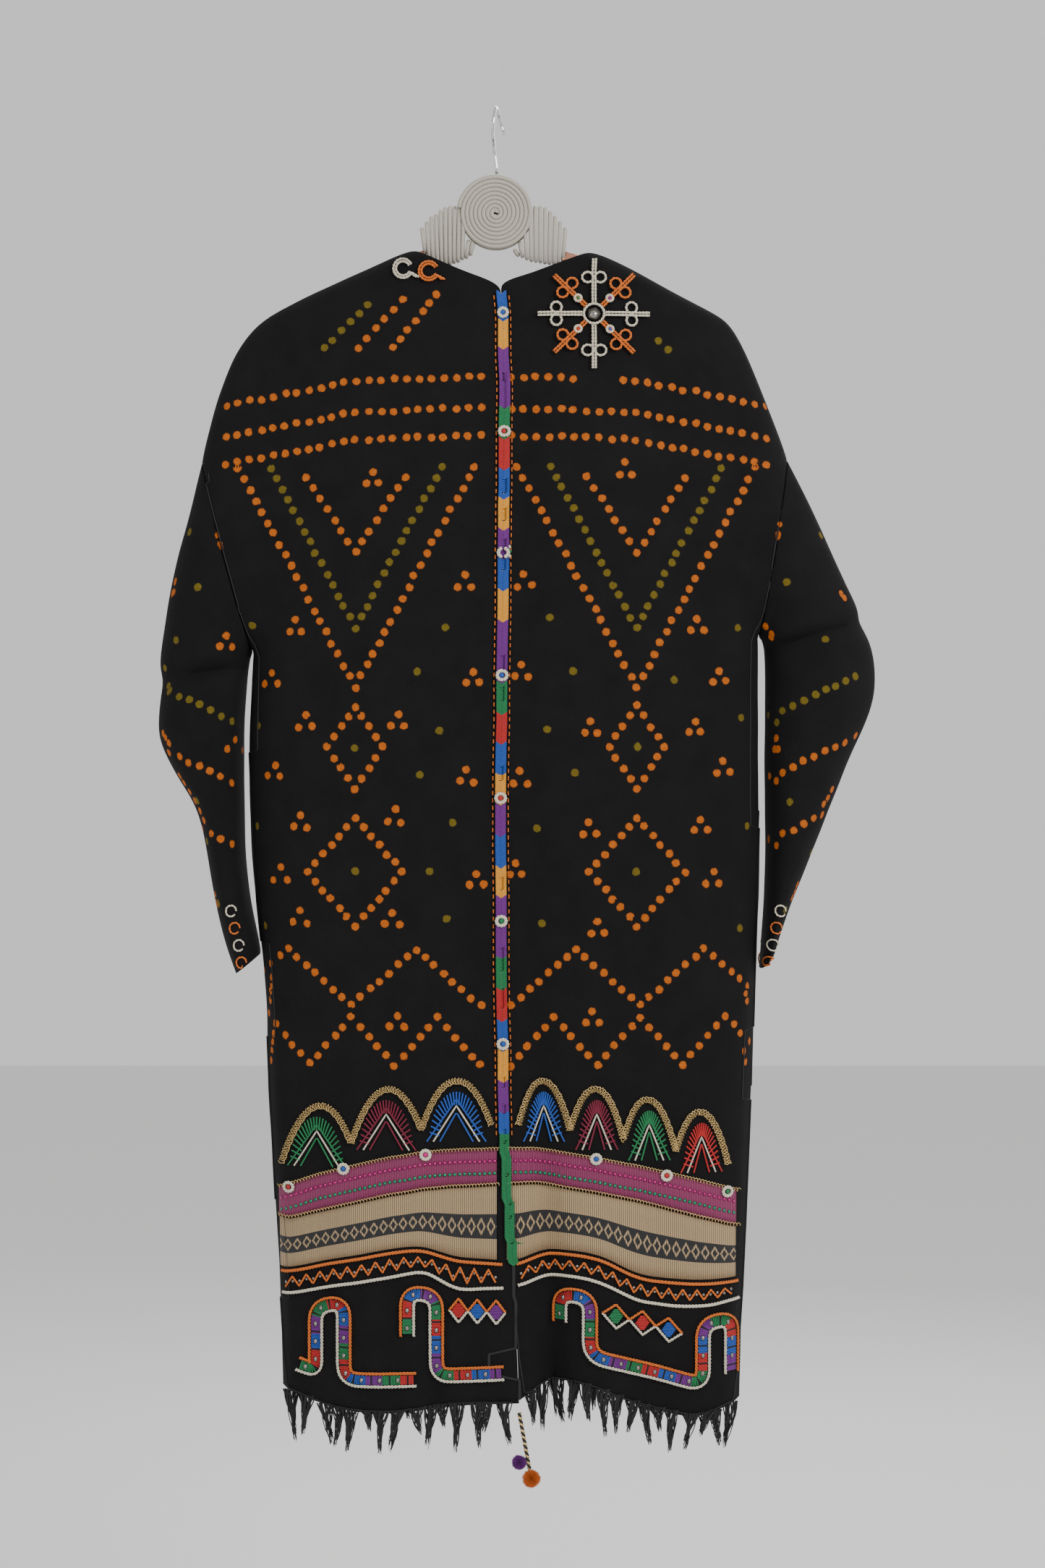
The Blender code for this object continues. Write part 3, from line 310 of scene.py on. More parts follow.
def skin_of(*nodes):
    """A searchable skin of some pieces of cloth."""
    spots, faces = [], []
    for node in nodes:
        first = len(spots)
        mesh = cloth[node].data
        spots += [v.co.copy() for v in mesh.vertices]
        faces += [[first + k for k in face.vertices] for face in mesh.polygons]
    return BVHTree.FromPolygons(spots, faces)


skins = {BACK: skin_of("back_left", "back_right"), FRONT: skin_of("front_left", "front_right")}
sleeve_skin = skin_of(*SLEEVES)


def on_cloth(x, z, facing=BACK, skin=None):
    """The point of the cloth at x and z, in metres, and its outward direction."""
    tree = skin or skins[facing]
    spot, normal, _, _ = tree.ray_cast(Vector((x, facing * 0.4, z)), Vector((0, -facing, 0)))
    if spot is None:
        near = tree.find_nearest(Vector((x, facing * 0.03, z)))
        spot, normal = near[0], near[1]
    if normal.y * facing < 0:
        normal = -normal
    return spot, normal


# %% [markdown]
# The dots stand in rows because the dyer ties them along folds of the cloth.
# Rows, nested chevrons, diamonds and zigzags are the old stock of motifs, and
# a loose filling of threes and ones closes the ground between them. The
# layout here is this lesson's own: each motif is worked out from its size in
# millimetres, and the two halves of the back repeat it.

# %% Motifs of dots
ORANGE_DYE, OLIVE_DYE = 1, 2
PITCH = 11.5                  # from one tied dot to the next along a row
random.seed(7)


def dot_row(corners, dye):
    """Dots at an even pitch along each straight stretch between corners."""
    dots = []
    for (x0, z0), (x1, z1) in zip(corners, corners[1:]):
        steps = max(1, round(math.hypot(x1 - x0, z1 - z0) / PITCH))
        dots += [(x0 + (x1 - x0) * k / steps, z0 + (z1 - z0) * k / steps, dye)
                 for k in range(steps)]
    return dots + [(*corners[-1], dye)]


def chevron(x, top, half, depth, dye):
    return dot_row([(x - half, top), (x, top - depth), (x + half, top)], dye)


def diamond(x, z, half, rise):
    ring = [(x, z + rise), (x + half, z), (x, z - rise), (x - half, z), (x, z + rise)]
    return dot_row(ring, ORANGE_DYE)[:-1] + [(x, z, OLIVE_DYE)]


def zigzag(x0, x1, z, rise, turns):
    corners = [(x0 + (x1 - x0) * k / turns, z + rise * (k % 2)) for k in range(turns + 1)]
    return dot_row(corners, ORANGE_DYE)


def filling(dots, x0, x1, top, foot, net=46.0, clear=21.0):
    """Threes and ones on a staggered net, wherever the motifs leave room."""
    extra = []
    for row in range(int((top - foot) / net)):
        for column in range(int((x1 - x0) / net) + 1):
            x = x0 + (column + 0.5 * (row % 2)) * net + random.uniform(-7, 7)
            z = top - row * net + random.uniform(-7, 7)
            if x > x1 or any(math.hypot(x - a, z - b) < clear for a, b, _ in dots):
                continue
            if (row + column) % 2:
                extra.append((x, z, OLIVE_DYE))
            else:
                extra += [(x + 7 * math.cos(turn), z + 7 * math.sin(turn), ORANGE_DYE)
                          for turn in (1.6, 3.7, 5.8)]
    return extra


# %% [markdown]
# One half of the back carries, from the top: slanting rows by the neck, three
# rows over the shoulder, chevrons, two diamonds and two zigzags. The fronts
# aren't seen, so they take the same layout.

# %% Layout of one half and one sleeve
ROSE = (91.0, -196.0)         # middle of the embroidered rosette
ROSE_REACH = 64.0
MIDDLE = 130.0                # from the centre seam to the middle of a half
NEAR, FAR = 14.0, 252.0       # where rows start by the seam and end by the side
CHEVRONS = (
    # top, half width, depth, dye
    (-340, 110, 205, ORANGE_DYE), (-340, 80, 150, OLIVE_DYE), (-350, 46, 70, ORANGE_DYE))
DIAMONDS = (
    # height, half width, half rise
    (-600, 26, 38), (-715, 44, 50))
SHOULDER_ROWS = (-255, -285, -311)
ROW_FALL = 26.0               # how far a shoulder row drops towards the side


def half_back():
    dots = []
    for level in SHOULDER_ROWS:
        dots += dot_row([(NEAR, level), (MIDDLE, level - 4), (FAR, level - ROW_FALL)], ORANGE_DYE)
    for shift, dye in ((0, ORANGE_DYE), (32, ORANGE_DYE), (64, OLIVE_DYE)):
        dots += dot_row([(56 + shift, -176 - shift / 6), (96 + shift, -228)], dye)
    for top, half, depth, dye in CHEVRONS:
        dots += chevron(MIDDLE, top, half, depth, dye)
    for height, half, rise in DIAMONDS:
        dots += diamond(MIDDLE, height, half, rise)
    dots += zigzag(NEAR, FAR, -838, 52, 4)
    dots += zigzag(NEAR, FAR, -893, 44, 6)
    return dots + filling(dots, NEAR + 8, FAR - 6, -350, -905)


def clear_of_rosette(dot):
    return math.hypot(dot[0] / MM - ROSE[0], dot[1] / MM - ROSE[1]) > ROSE_REACH


def half_sleeve():
    """Slanting rows down a sleeve, as the distance from the seam and the height."""
    dots = []
    for k, level in enumerate((-575, -632, -690)):
        dots += dot_row([(246, level), (335, level + 42)], OLIVE_DYE if k == 0 else ORANGE_DYE)
    return dots + filling(dots, 250, 340, -400, -810, net=50.0)


def both_sides(half):
    """A half's dots on the left and the right, in metres, a little uneven by hand."""
    return [(side * (x + random.uniform(-1, 1)) * MM, (z + random.uniform(-1, 1)) * MM, dye)
            for side in (LEFT, RIGHT) for x, z, dye in half()]


def dye_cloth(piece, dots):
    """Give every corner of a piece its way to the nearest dot, and the dye."""
    tree = KDTree(len(dots))
    for k, (spot, _) in enumerate(dots):
        tree.insert(spot, k)
    tree.balance()
    mesh = piece.data
    ways = np.full((len(mesh.loops), 3), 1.0)
    dyes = np.zeros(len(mesh.loops))
    for face in mesh.polygons:
        spot, k, gap = tree.find(face.center)
        if gap > 3 * DOT_RADIUS:
            continue
        for loop in face.loop_indices:
            ways[loop] = mesh.vertices[mesh.loops[loop].vertex_index].co - spot
            dyes[loop] = dots[k][1]
    mesh.attributes.new("way_to_dot", "FLOAT_VECTOR", "CORNER").data.foreach_set(
        "vector", ways.ravel())
    mesh.attributes.new("dye", "FLOAT", "CORNER").data.foreach_set("value", dyes)


def placed(dots, facing, skin):
    return [(on_cloth(x, z, facing, skin)[0], dye) for x, z, dye in dots]


everywhere = []
for facing in (BACK, FRONT):
    everywhere += placed(filter(clear_of_rosette, both_sides(half_back)), facing, skins[facing])
    everywhere += placed(both_sides(half_sleeve), facing, sleeve_skin)
for piece in cloth.values():
    dye_cloth(piece, everywhere)
print(len(everywhere), "dots dyed")

# %% [markdown]
# Every trim is yarn, coil, glass or metal couched on the cloth. Yarn is made
# as runs of points that become round tubes, so a two ply cord really winds
# round itself. Small round things are beads turned to face out of the cloth.

# %% Finishes of the trims


def yarn(name, color, rough=0.85, metallic=0.0):
    finish = Finish(name, color, rough, metallic)
    if metallic == 1.0:
        return finish.material
    fluff = finish.noise(900.0, 3.0)
    dark = tuple(0.55 * part for part in color)
    finish.feed("Base Color", finish.mix(fluff, (*dark, 1), (*color, 1)))
    finish.bump(fluff, 0.25 * MM)
    return finish.material


YARN = {
    "orange": yarn("orange_yarn", (0.70, 0.16, 0.015)), "cream": yarn("cream_yarn", (0.72, 0.66, 0.52)),
    "red": yarn("red_yarn", (0.50, 0.020, 0.020)), "blue": yarn("blue_yarn", (0.015, 0.09, 0.42)),
    "green": yarn("green_yarn", (0.010, 0.20, 0.065)), "purple": yarn("purple_yarn", (0.17, 0.02, 0.24)),
    "maroon": yarn("maroon_yarn", (0.20, 0.010, 0.035)), "yellow": yarn("yellow_yarn", (0.80, 0.36, 0.03)),
    "magenta": yarn("magenta_yarn", (0.60, 0.02, 0.22)), "black": yarn("black_yarn", (0.012, 0.011, 0.012)),
    "tan": yarn("tan_yarn", (0.36, 0.24, 0.12)), "hemp": yarn("grey_cotton", (0.50, 0.46, 0.39)),
    "gold": yarn("gold_coil", (0.72, 0.50, 0.20), 0.34, 0.75),
    "magenta_foil": yarn("magenta_foil", (0.62, 0.03, 0.25), 0.25, 0.7),
    "green_foil": yarn("green_foil", (0.02, 0.34, 0.16), 0.25, 0.7),
    "mica": yarn("mica", (0.33, 0.31, 0.29), 0.16, 0.8),
    "copper": yarn("copper", (0.62, 0.30, 0.20), 0.22, 1.0),
    "chrome": yarn("chrome", (0.66, 0.66, 0.67), 0.12, 1.0)}
FOUR = ("green", "red", "blue", "purple")


def settle(obj, nodes):
    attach(obj, "root")
    if nodes:
        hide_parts(*nodes)
    return obj


def cords(name, runs, radius, nodes, roundness=1):
    """Round tubes along runs of points, each run with a colour and, if wished, a taper."""
    curve = bpy.data.curves.new(name, "CURVE")
    curve.dimensions = "3D"
    curve.bevel_depth, curve.bevel_resolution, curve.use_fill_caps = radius * MM, roundness, True
    used = sorted({run[1] for run in runs})
    for color in used:
        curve.materials.append(YARN[color])
    for points, color, *taper in runs:
        spline = curve.splines.new("POLY")
        spline.points.add(len(points) - 1)
        spline.points.foreach_set("co", [c for p in points for c in (*p, 1)])
        spline.points.foreach_set("radius", taper[0] if taper else [1.0] * len(points))
        spline.material_index = used.index(color)
    source = bpy.data.objects.new(name + "_path", curve)
    bpy.context.scene.collection.objects.link(source)
    graph = bpy.context.evaluated_depsgraph_get()
    mesh = bpy.data.meshes.new_from_object(source.evaluated_get(graph), depsgraph=graph)
    bpy.data.objects.remove(source, do_unlink=True)
    mesh.name = name
    obj = bpy.data.objects.new(name, mesh)
    bpy.context.scene.collection.objects.link(obj)
    mesh.shade_smooth()
    print(name, len(runs), "runs,", len(mesh.polygons), "faces")
    return settle(obj, nodes)


def beads(name, spots, nodes):
    """Flattened balls: centre, outward direction, half width, half height, thickness, colour."""
    build = bmesh.new()
    used = sorted({spot[5] for spot in spots})
    for centre, out, wide, high, thick, color in spots:
        turn = out.to_track_quat("Z", "Y").to_matrix().to_4x4()
        turn.translation = centre
        size = Matrix.Diagonal((wide, high, thick, 1))
        made = bmesh.ops.create_icosphere(build, subdivisions=1, radius=1.0, matrix=turn @ size)
        for face in {f for v in made["verts"] for f in v.link_faces}:
            face.material_index = used.index(color)
    mesh = bpy.data.meshes.new(name)
    build.to_mesh(mesh)
    build.free()
    return settle(finished(name, mesh, [YARN[color] for color in used]), nodes)


def lifted(x, z, lift, facing=BACK, skin=None):
    """A point in millimetres over the cloth, in metres."""
    spot, out = on_cloth(x * MM, z * MM, facing, skin)
    return spot + out * lift * MM, out


def even(path, step):
    path = np.array(path, dtype=float)
    run = np.concatenate([[0], np.cumsum(np.linalg.norm(np.diff(path, axis=0), axis=1))])
    wanted = np.linspace(0, run[-1], max(2, round(run[-1] / step) + 1))
    return np.stack([np.interp(wanted, run, path[:, k]) for k in range(path.shape[1])], axis=1)


def laid(path, lift, facing=BACK, off=0.0, step=2.0, skin=None):
    """A flat path on the cloth, moved sideways by off, as points in space."""
    path = even(path, step)
    ahead = np.gradient(path, axis=0)
    ahead /= np.linalg.norm(ahead, axis=1)[:, None] + 1e-9
    path = path + np.stack([-ahead[:, 1], ahead[:, 0]], axis=1) * off
    return [lifted(x, z, lift, facing, skin)[0] for x, z in path]


def plies(points, color, wind=3.2, reach=0.75, second=None):
    """Two strands that wind round a run of points."""
    points = [Vector(p) for p in points]
    runs, travelled = ([], []), 0.0
    for k, point in enumerate(points):
        ahead = (points[min(k + 1, len(points) - 1)] - points[max(k - 1, 0)]).normalized()
        side = ahead.cross(Vector((0, 1, 0.01))).normalized()
        up = side.cross(ahead)
        if k:
            travelled += (point - points[k - 1]).length / MM
        for ply in (0, 1):
            turn = travelled / wind * math.pi + ply * math.pi
            runs[ply].append(point + (side * math.cos(turn) + up * math.sin(turn)) * reach * MM)
    return [(runs[0], color), (runs[1], second or color)]


def looped(path, color, loop=3.0, pitch=2.4, lift=2.0, facing=BACK, off=0.0):
    """One run of coil that loops along a flat path."""
    base = even(path, 0.6)
    ahead = np.gradient(base, axis=0)
    ahead /= np.linalg.norm(ahead, axis=1)[:, None] + 1e-9
    points = []
    for k, (x, z) in enumerate(base):
        turn = 2 * math.pi * k * 0.6 / pitch
        along, across = math.sin(turn) * loop * 0.5, math.cos(turn) * loop + off
        points.append(lifted(x + ahead[k][0] * along - ahead[k][1] * across,
                             z + ahead[k][1] * along + ahead[k][0] * across,
                             lift + 0.5 * math.sin(turn), facing)[0])
    return points, color


# %% [markdown]
# The border's levels are read from the solids, so each trim lies where the
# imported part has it.

# %% Levels of the border


def span(node):
    low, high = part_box(node)
    return low[0] / MM, high[0] / MM


def edge(node, share, step=5.0, trim=2.0):
    """A line in millimetres along the foot (0) to the top (1) of a node, from left to right."""
    source = bpy.data.objects[node].data
    tree = BVHTree.FromPolygons([v.co for v in source.vertices],
                                [tuple(face.vertices) for face in source.polygons])
    low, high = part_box(node)
    first, last = span(node)
    line = []
    for x in np.arange(first + trim, last - trim, step):
        hits = [z for z in np.arange(low[2] / MM, high[2] / MM, 0.8)
                if tree.ray_cast(Vector((x * MM, -0.4, z * MM)), Vector((0, 1, 0)))[0]]
        if hits:
            line.append((x, hits[0] * (1 - share) + hits[-1] * share))
    line = np.array(line)
    padded = np.pad(line[:, 1], 1, mode="edge")
    line[:, 1] = np.convolve(padded, np.ones(3) / 3, mode="valid")
    return line


def height(line, x):
    return float(np.interp(x, line[:, 0], line[:, 1]))


WORDS = ((BACK, "back"), (FRONT, "front"))
SIDES = ((LEFT, "left"), (RIGHT, "right"))
lines = {(color, face, side): edge(f"line_{color}_{face}_{side}", 0.5)
         for color in ("orange", "cream") for _, face in WORDS for _, side in SIDES}
tops = {(face, side): edge(f"ribbon_{face}_{side}", 1.0) for _, face in WORDS for _, side in SIDES}
feet = {(face, side): edge(f"ribbon_{face}_{side}", 0.0) for _, face in WORDS for _, side in SIDES}
hems = {side: edge("back_" + side, 0.0) for _, side in SIDES}

# %% [markdown]
# The ribbon is a net with two rows of sequins between looped gold edges. The
# ribbed band under it is woven, so its ribs and its dark stripe are a finish
# that runs along the band by its own UV map.

# %% Couched lines, ribbon and ribbed band


def strip(name, upper, lower, facing, lift, material, across):
    """A band of cloth between two lines, with its run and height as a UV map."""
    xs = np.arange(upper[0, 0], upper[-1, 0], 2.5)
    spots, faces, places = [], [], []
    for x in xs:
        for k in range(across + 1):
            z = height(upper, x) + (height(lower, x) - height(upper, x)) * k / across
            spots.append(lifted(x, z, lift, facing)[0])
            places.append((x, k / across))
    for i in range(len(xs) - 1):
        for k in range(across):
            a, b = i * (across + 1) + k, (i + 1) * (across + 1) + k
            faces.append((a, b, b + 1, a + 1) if facing == FRONT else (a, a + 1, b + 1, b))
    mesh = bpy.data.meshes.new(name)
    mesh.from_pydata(spots, [], faces)
    chart = mesh.uv_layers.new(name="run")
    for loop in mesh.loops:
        chart.data[loop.index].uv = places[loop.vertex_index]
    obj = finished(name, mesh, [material])
    wall = obj.modifiers.new("wall", "SOLIDIFY")
    wall.thickness, wall.offset = 0.5 * MM, -1.0
    return baked(obj)


def band_finish(name, ground, rib, figure):
    """Woven band: fine upright ribs, and a dark stripe with lozenges where figure is true."""
    band = Finish(name, ground, 0.7)
    run = band.node("SeparateXYZ", {}, [band.node("UVMap", {"uv_map": "run"})])
    across = run
    down = Thread(band, run.socket.node.outputs[1])
    ribs = (across * (2 * math.pi / rib)).wave()
    color = band.mix(ribs * 0.5 + 0.5, tuple(0.35 * c for c in ground) + (1,), (*ground, 1))
    if figure:
        middle = ((down - 0.55).size()) < 0.17
        lozenge = (((across / 9.0).fraction() - 0.5).size() * 0.28 + (down - 0.55).size())
        open_part = (lozenge < 0.13) * (lozenge > 0.075)
        color = band.mix(middle * (1 - open_part), color, (0.010, 0.009, 0.010, 1))
    band.feed("Base Color", color)
    band.bump(ribs, 0.3 * MM)
    return band.material


RIBBON = band_finish("ribbon_net", (0.30, 0.03, 0.12), 1.6, False)
RIBBED = band_finish("ribbed_tan", (0.46, 0.32, 0.17), 1.9, True)
for facing, face in WORDS:
    for _, side in SIDES:
        top, foot = tops[face, side], feet[face, side]
        tall = float((top[:, 1] - foot[:, 1]).mean())
        ribbon = settle(strip(f"ribbon.{face}.{side}", top, foot, facing, 1.4, RIBBON, 4),
                        [f"ribbon_{face}_{side}"])
        orange = lines["orange", face, side]
        tan_top = np.stack([foot[:, 0], foot[:, 1] - 2], axis=1)
        tan_foot = np.array([(x, height(orange, x) + 4) for x in foot[:, 0]])
        tan = settle(strip(f"ribbed_band.{face}.{side}", tan_top, tan_foot, facing, 0.9, RIBBED, 6),
                     [])
        runs = [looped(top, "gold", 1.8, 3.0, 2.2, facing), looped(foot, "gold", 1.5, 3.0, 2.2, facing)]
        cords(f"ribbon_edges.{face}.{side}", runs, 0.45, [], 0)
        sequins = []
        for share, foil in ((0.34, "magenta_foil"), (0.68, "green_foil")):
            for x in np.arange(top[0, 0] + 3, top[-1, 0] - 3, 4.6):
                z = height(top, x) - tall * share
                sequins.append((*lifted(x, z, 2.0, facing), 1.9 * MM, 1.9 * MM, 0.5 * MM, foil))
        beads(f"sequins.{face}.{side}", sequins, [])
        for color in ("orange", "cream"):
            couched = laid(lines[color, face, side], 1.7, facing, step=0.9)
            cords(f"line_{color}.{face}.{side}", plies(couched, color), 0.95,
                  [f"line_{color}_{face}_{side}"])

# %% [markdown]
# The figures of the border are worked out by rule, as in the solids: even
# arches over the ribbon, a zigzag between two lines, and canes that stand on
# a foot and go over a round crown.

# %% Zigzag, scallops, canes and chains
ZIG = 6.5
GOLD_LIFT, SCALLOP_RISE = 22.0, 42.0
SCALLOPS = {"left": (3, -4.0, -198.0), "right": (4, 20.0, 214.0)}
SCALLOP_FILLS = ("blue", "maroon", "green", "red")
CANES = (
    # name, side, x of the first leg, foot before it, foot after, crowns
    ("cane_left_outer", "left", -167, 17, 66, 1),
    ("cane_left_inner", "left", -82, 0, 62, 1),
    ("cane_right", "right", 60, 0, 104, 2))
CANE_GAP, CANE_HALF = 27.0, 7.5
CROWN_BELOW_LINE, FOOT_ABOVE_HEM, SHORT_LEG = 16.5, 29.0, 0.5
ZIG_INSET = 5.5               # how far the zigzag stays inside its two lines
CHAINS = (("chain_left", (-43, -1119), (9, -1121)), ("chain_right", (98, -1121), (172, -1142)))

for _, side in SIDES:
    orange, cream = lines["orange", "back", side], lines["cream", "back", side]
    zigs = [(x, height(orange, x) - ZIG_INSET if k % 2 else height(cream, x) + ZIG_INSET)
            for k, x in enumerate(np.arange(orange[0, 0] + 4, orange[-1, 0] - 4, ZIG))]
    cords("zigzag." + side, plies(laid(zigs, 1.5, step=0.9), "orange", reach=0.45), 0.6,
          ["zigzag_" + side])
    glints = [(*lifted(x, z + (4.5 if k % 2 == 0 else -4.5), 1.0), 1.9 * MM, 1.9 * MM, 0.5 * MM, "mica")
              for k, (x, z) in enumerate(zigs)]
    beads("zigzag_mica." + side, glints, [])

    arches, first, last = SCALLOPS[side]
    top = tops["back", side]
    path, stitches = [], []
    for k in range(14 * arches + 1):
        x = first + (last - first) * k / (14 * arches)
        swing = abs(2 * ((k / 14) % 1) - 1)
        path.append((x, height(top, x) + GOLD_LIFT + SCALLOP_RISE * (1 - swing ** 2.2)))
    for arch in range(arches):
        middle = first + (last - first) * (arch + 0.5) / arches
        foot = height(top, middle) + 4
        wide = abs(last - first) / arches / 2
        color = SCALLOP_FILLS[arch % len(SCALLOP_FILLS)]
        for spoke in range(23):
            turn = math.pi * (0.08 + 0.84 * spoke / 22)
            rim = (middle + math.cos(turn) * (wide - 7), foot + math.sin(turn) * 50)
            root = (middle + math.cos(turn) * (wide - 16), foot + math.sin(turn) * 38)
            stitches.append((laid([root, rim], 1.2, step=3.0), color))
        for inset, tone in ((19, color), (25, "cream"), (31, color)):
            reach = wide + 14 - inset
            if reach > 3:
                vee = [(middle - reach, foot + 4), (middle, foot + 62 - inset), (middle + reach, foot + 4)]
                stitches.append((laid(vee, 1.2, step=3.0), tone))
    cords("scallop_gold." + side, [looped(path, "gold", 3.2, 2.6, 2.6)], 0.55,
          ["gold_scallop_" + side], 0)
    cords("scallop_stitches." + side, stitches, 0.8, [], 0)


def rounded(corners, radius):
    corners = [np.array(corner, dtype=float) for corner in corners]
    path = [corners[0]]
    for before, corner, after in zip(corners, corners[1:], corners[2:]):
        back, on = before - corner, after - corner
        reach = min(radius, np.linalg.norm(back) / 2, np.linalg.norm(on) / 2)
        start, end = corner + back / np.linalg.norm(back) * reach, corner + on / np.linalg.norm(on) * reach
        path += [start * (1 - t) ** 2 + corner * 2 * t * (1 - t) + end * t * t
                 for t in np.linspace(0, 1, 7)]
    return path + [corners[-1]]


for name, side, leg, before, after, crowns in CANES:
    stops = [(leg - before, 0), (leg, 0)] if before else [(leg, SHORT_LEG)]
    for crown in range(crowns):
        stops += [(leg, 1), (leg + CANE_GAP, 1), (leg + CANE_GAP, 0)]
        if crown < crowns - 1 or crowns == 1:
            stops.append((leg + CANE_GAP + after, 0))
        leg += CANE_GAP + after
    corners = []
    for x, share in stops:
        foot = height(hems[side], x) + FOOT_ABOVE_HEM
        crown_z = height(lines["cream", "back", side], x) - CROWN_BELOW_LINE
        corners.append((x, foot + (crown_z - foot) * share))
    path = even(rounded(corners, CANE_GAP / 2), 1.5)
    runs = (plies(laid(path, 2.0, off=CANE_HALF - 1.5, step=0.9), "orange")
            + plies(laid(path, 2.0, off=1.5 - CANE_HALF, step=0.9), "cream"))
    ahead = np.gradient(path, axis=0)
    ahead /= np.linalg.norm(ahead, axis=1)[:, None]
    stones = []
    for k in range(2, len(path) - 2):
        across = np.array((-ahead[k][1], ahead[k][0])) * 4.2
        cell = int(k * 1.5 // 16)
        stitch = laid([path[k] - across, path[k] + across], 1.3, step=3.0)
        runs.append((stitch, "black" if k % 11 == 0 else FOUR[cell % 4]))
        if k % 11 == 5:
            spot, out = lifted(*path[k], 2.4)
            stones.append((spot, out, 2.2 * MM, 3.0 * MM, 0.8 * MM, "mica"))
    cords(name.replace("_", ".", 1), runs, 0.85, [name], 0)
    beads(name + ".mica", stones, [])

for name, first, last in CHAINS:
    runs = []
    for k in range(3):
        a = np.array(first) + (np.array(last) - np.array(first)) * k / 3
        b = np.array(first) + (np.array(last) - np.array(first)) * (k + 1) / 3
        middle = (a + b) / 2
        for way, color in ((11, "orange"), (-11, "cream")):
            runs += plies(laid([a, middle + (0, way), b], 1.7, step=0.9), color, reach=0.6)
        for row in range(-4, 5):
            half = 6.5 * (1 - abs(row) / 6)
            runs.append((laid([middle + (-half, row * 1.5), middle + (half, row * 1.5)], 1.2, step=3.0),
                         FOUR[(k + (name == "chain_left")) % 4]))
    cords(name.replace("_", "."), runs, 0.75, [name], 0)

# %% [markdown]
# Shirt buttons are sewn on as rings, each with a coloured knot in the middle.
# The braid over the centre seam is a ladder of paired slanting stitches.

# %% Buttons and braid


def button_spots(x, z, color, size=6.0, lift=3.0):
    ring = []
    for k in range(12):
        turn = math.pi * k / 6
        spot, out = lifted(x + math.cos(turn) * size * 0.68, z + math.sin(turn) * size * 0.68, lift)
        ring.append((spot, out, size * 0.33 * MM, size * 0.33 * MM, 0.9 * MM, "cream"))
    spot, out = lifted(x, z, lift)
    return ring + [(spot, out, size * 0.42 * MM, size * 0.42 * MM, 1.2 * MM, color)]


RIBBON_BUTTONS = ("left_outer", "left_middle", "left_inner", "right_inner", "right_middle", "right_outer")
for name, color in zip(RIBBON_BUTTONS, ("red", "blue", "magenta", "blue", "red", "green")):
    low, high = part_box("button_" + name)
    x, z = (low[0] + high[0]) / 2 / MM, (low[2] + high[2]) / 2 / MM
    beads("button." + name, button_spots(x, z, color), ["button_" + name])

braid_low, braid_high = (np.array(corner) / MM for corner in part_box("seam_braid"))
BRAID_BANDS = ("blue", "yellow", "purple", "purple", "green", "red", "blue", "yellow", "purple")
BRAID_GAP = 113.0


def level_x(node, z):
    spots = np.array([v.co for v in bpy.data.objects[node].data.vertices]) / MM
    near = spots[np.abs(spots[:, 2] - z) < 30]
    return float((near[:, 0].min() + near[:, 0].max()) / 2)


spine = np.array([(z, level_x("seam_braid", z)) for z in np.arange(braid_low[2], braid_high[2], 20.0)])
stitches, dashes, seam_buttons = [], [], []
for k, z in enumerate(np.arange(braid_low[2] + 2, braid_high[2] - 2, 1.7)):
    x = float(np.interp(z, spine[:, 0], spine[:, 1]))
    color = BRAID_BANDS[int((braid_high[2] - z) // (BRAID_GAP / 4)) % len(BRAID_BANDS)]
    for way in (-1, 1):
        stitches.append((laid([(x, z - 1.6), (x + way * 4.6, z + 1.8)], 2.6, step=2.5), color))
    if k % 4 < 2:
        for way in (-1, 1):
            dashes.append((laid([(x + way * 7.0, z - 1), (x + way * 7.0, z + 1)], 1.2, step=2.0), "orange"))
cords("seam_braid.stitches", stitches, 0.95, ["seam_braid"], 0)
cords("seam_braid.dashes", dashes, 0.6, [], 0)
left_spots = np.array([v.co for v in bpy.data.objects["back_left"].data.vertices]) / MM
lower_seam, join = [], []
for z in np.arange(braid_low[2] + 2, height(hems["left"], 10.0) + 2, -6.0):
    near = left_spots[np.abs(left_spots[:, 2] - z) < 24]
    rim = near[near[:, 0] > near[:, 0].max() - 2.5]
    lower_seam.append((float(near[:, 0].max()), z))
    join.append(Vector((near[:, 0].max() + 0.15, rim[:, 1].min() + 0.6, z)) * MM)
cords("seam_join", [(join, "black")], 1.7, [])
green = []
for (x, z) in even(lower_seam, 1.8):
    if z > height(lines["orange", "back", "left"], x):
        for way in (-1, 1):
            green.append((laid([(x, z - 1.6), (x + way * 4.2, z + 1.8)], 2.4, step=2.5), "green"))
cords("seam_braid.green", green, 0.95, [], 0)
for k, z in enumerate(np.arange(braid_high[2] - 22, braid_low[2] + 8, -BRAID_GAP)):
    x = float(np.interp(z, spine[:, 0], spine[:, 1]))
    seam_buttons += button_spots(x, z, ("blue", "red", "green")[k % 3], lift=4.4)
beads("seam_braid.buttons", seam_buttons, [])

# %% [markdown]
# Back and front are sewn together down the sides and over the shoulders. A
# black thread laid in the seam closes it, as the stitches do on real cloth.

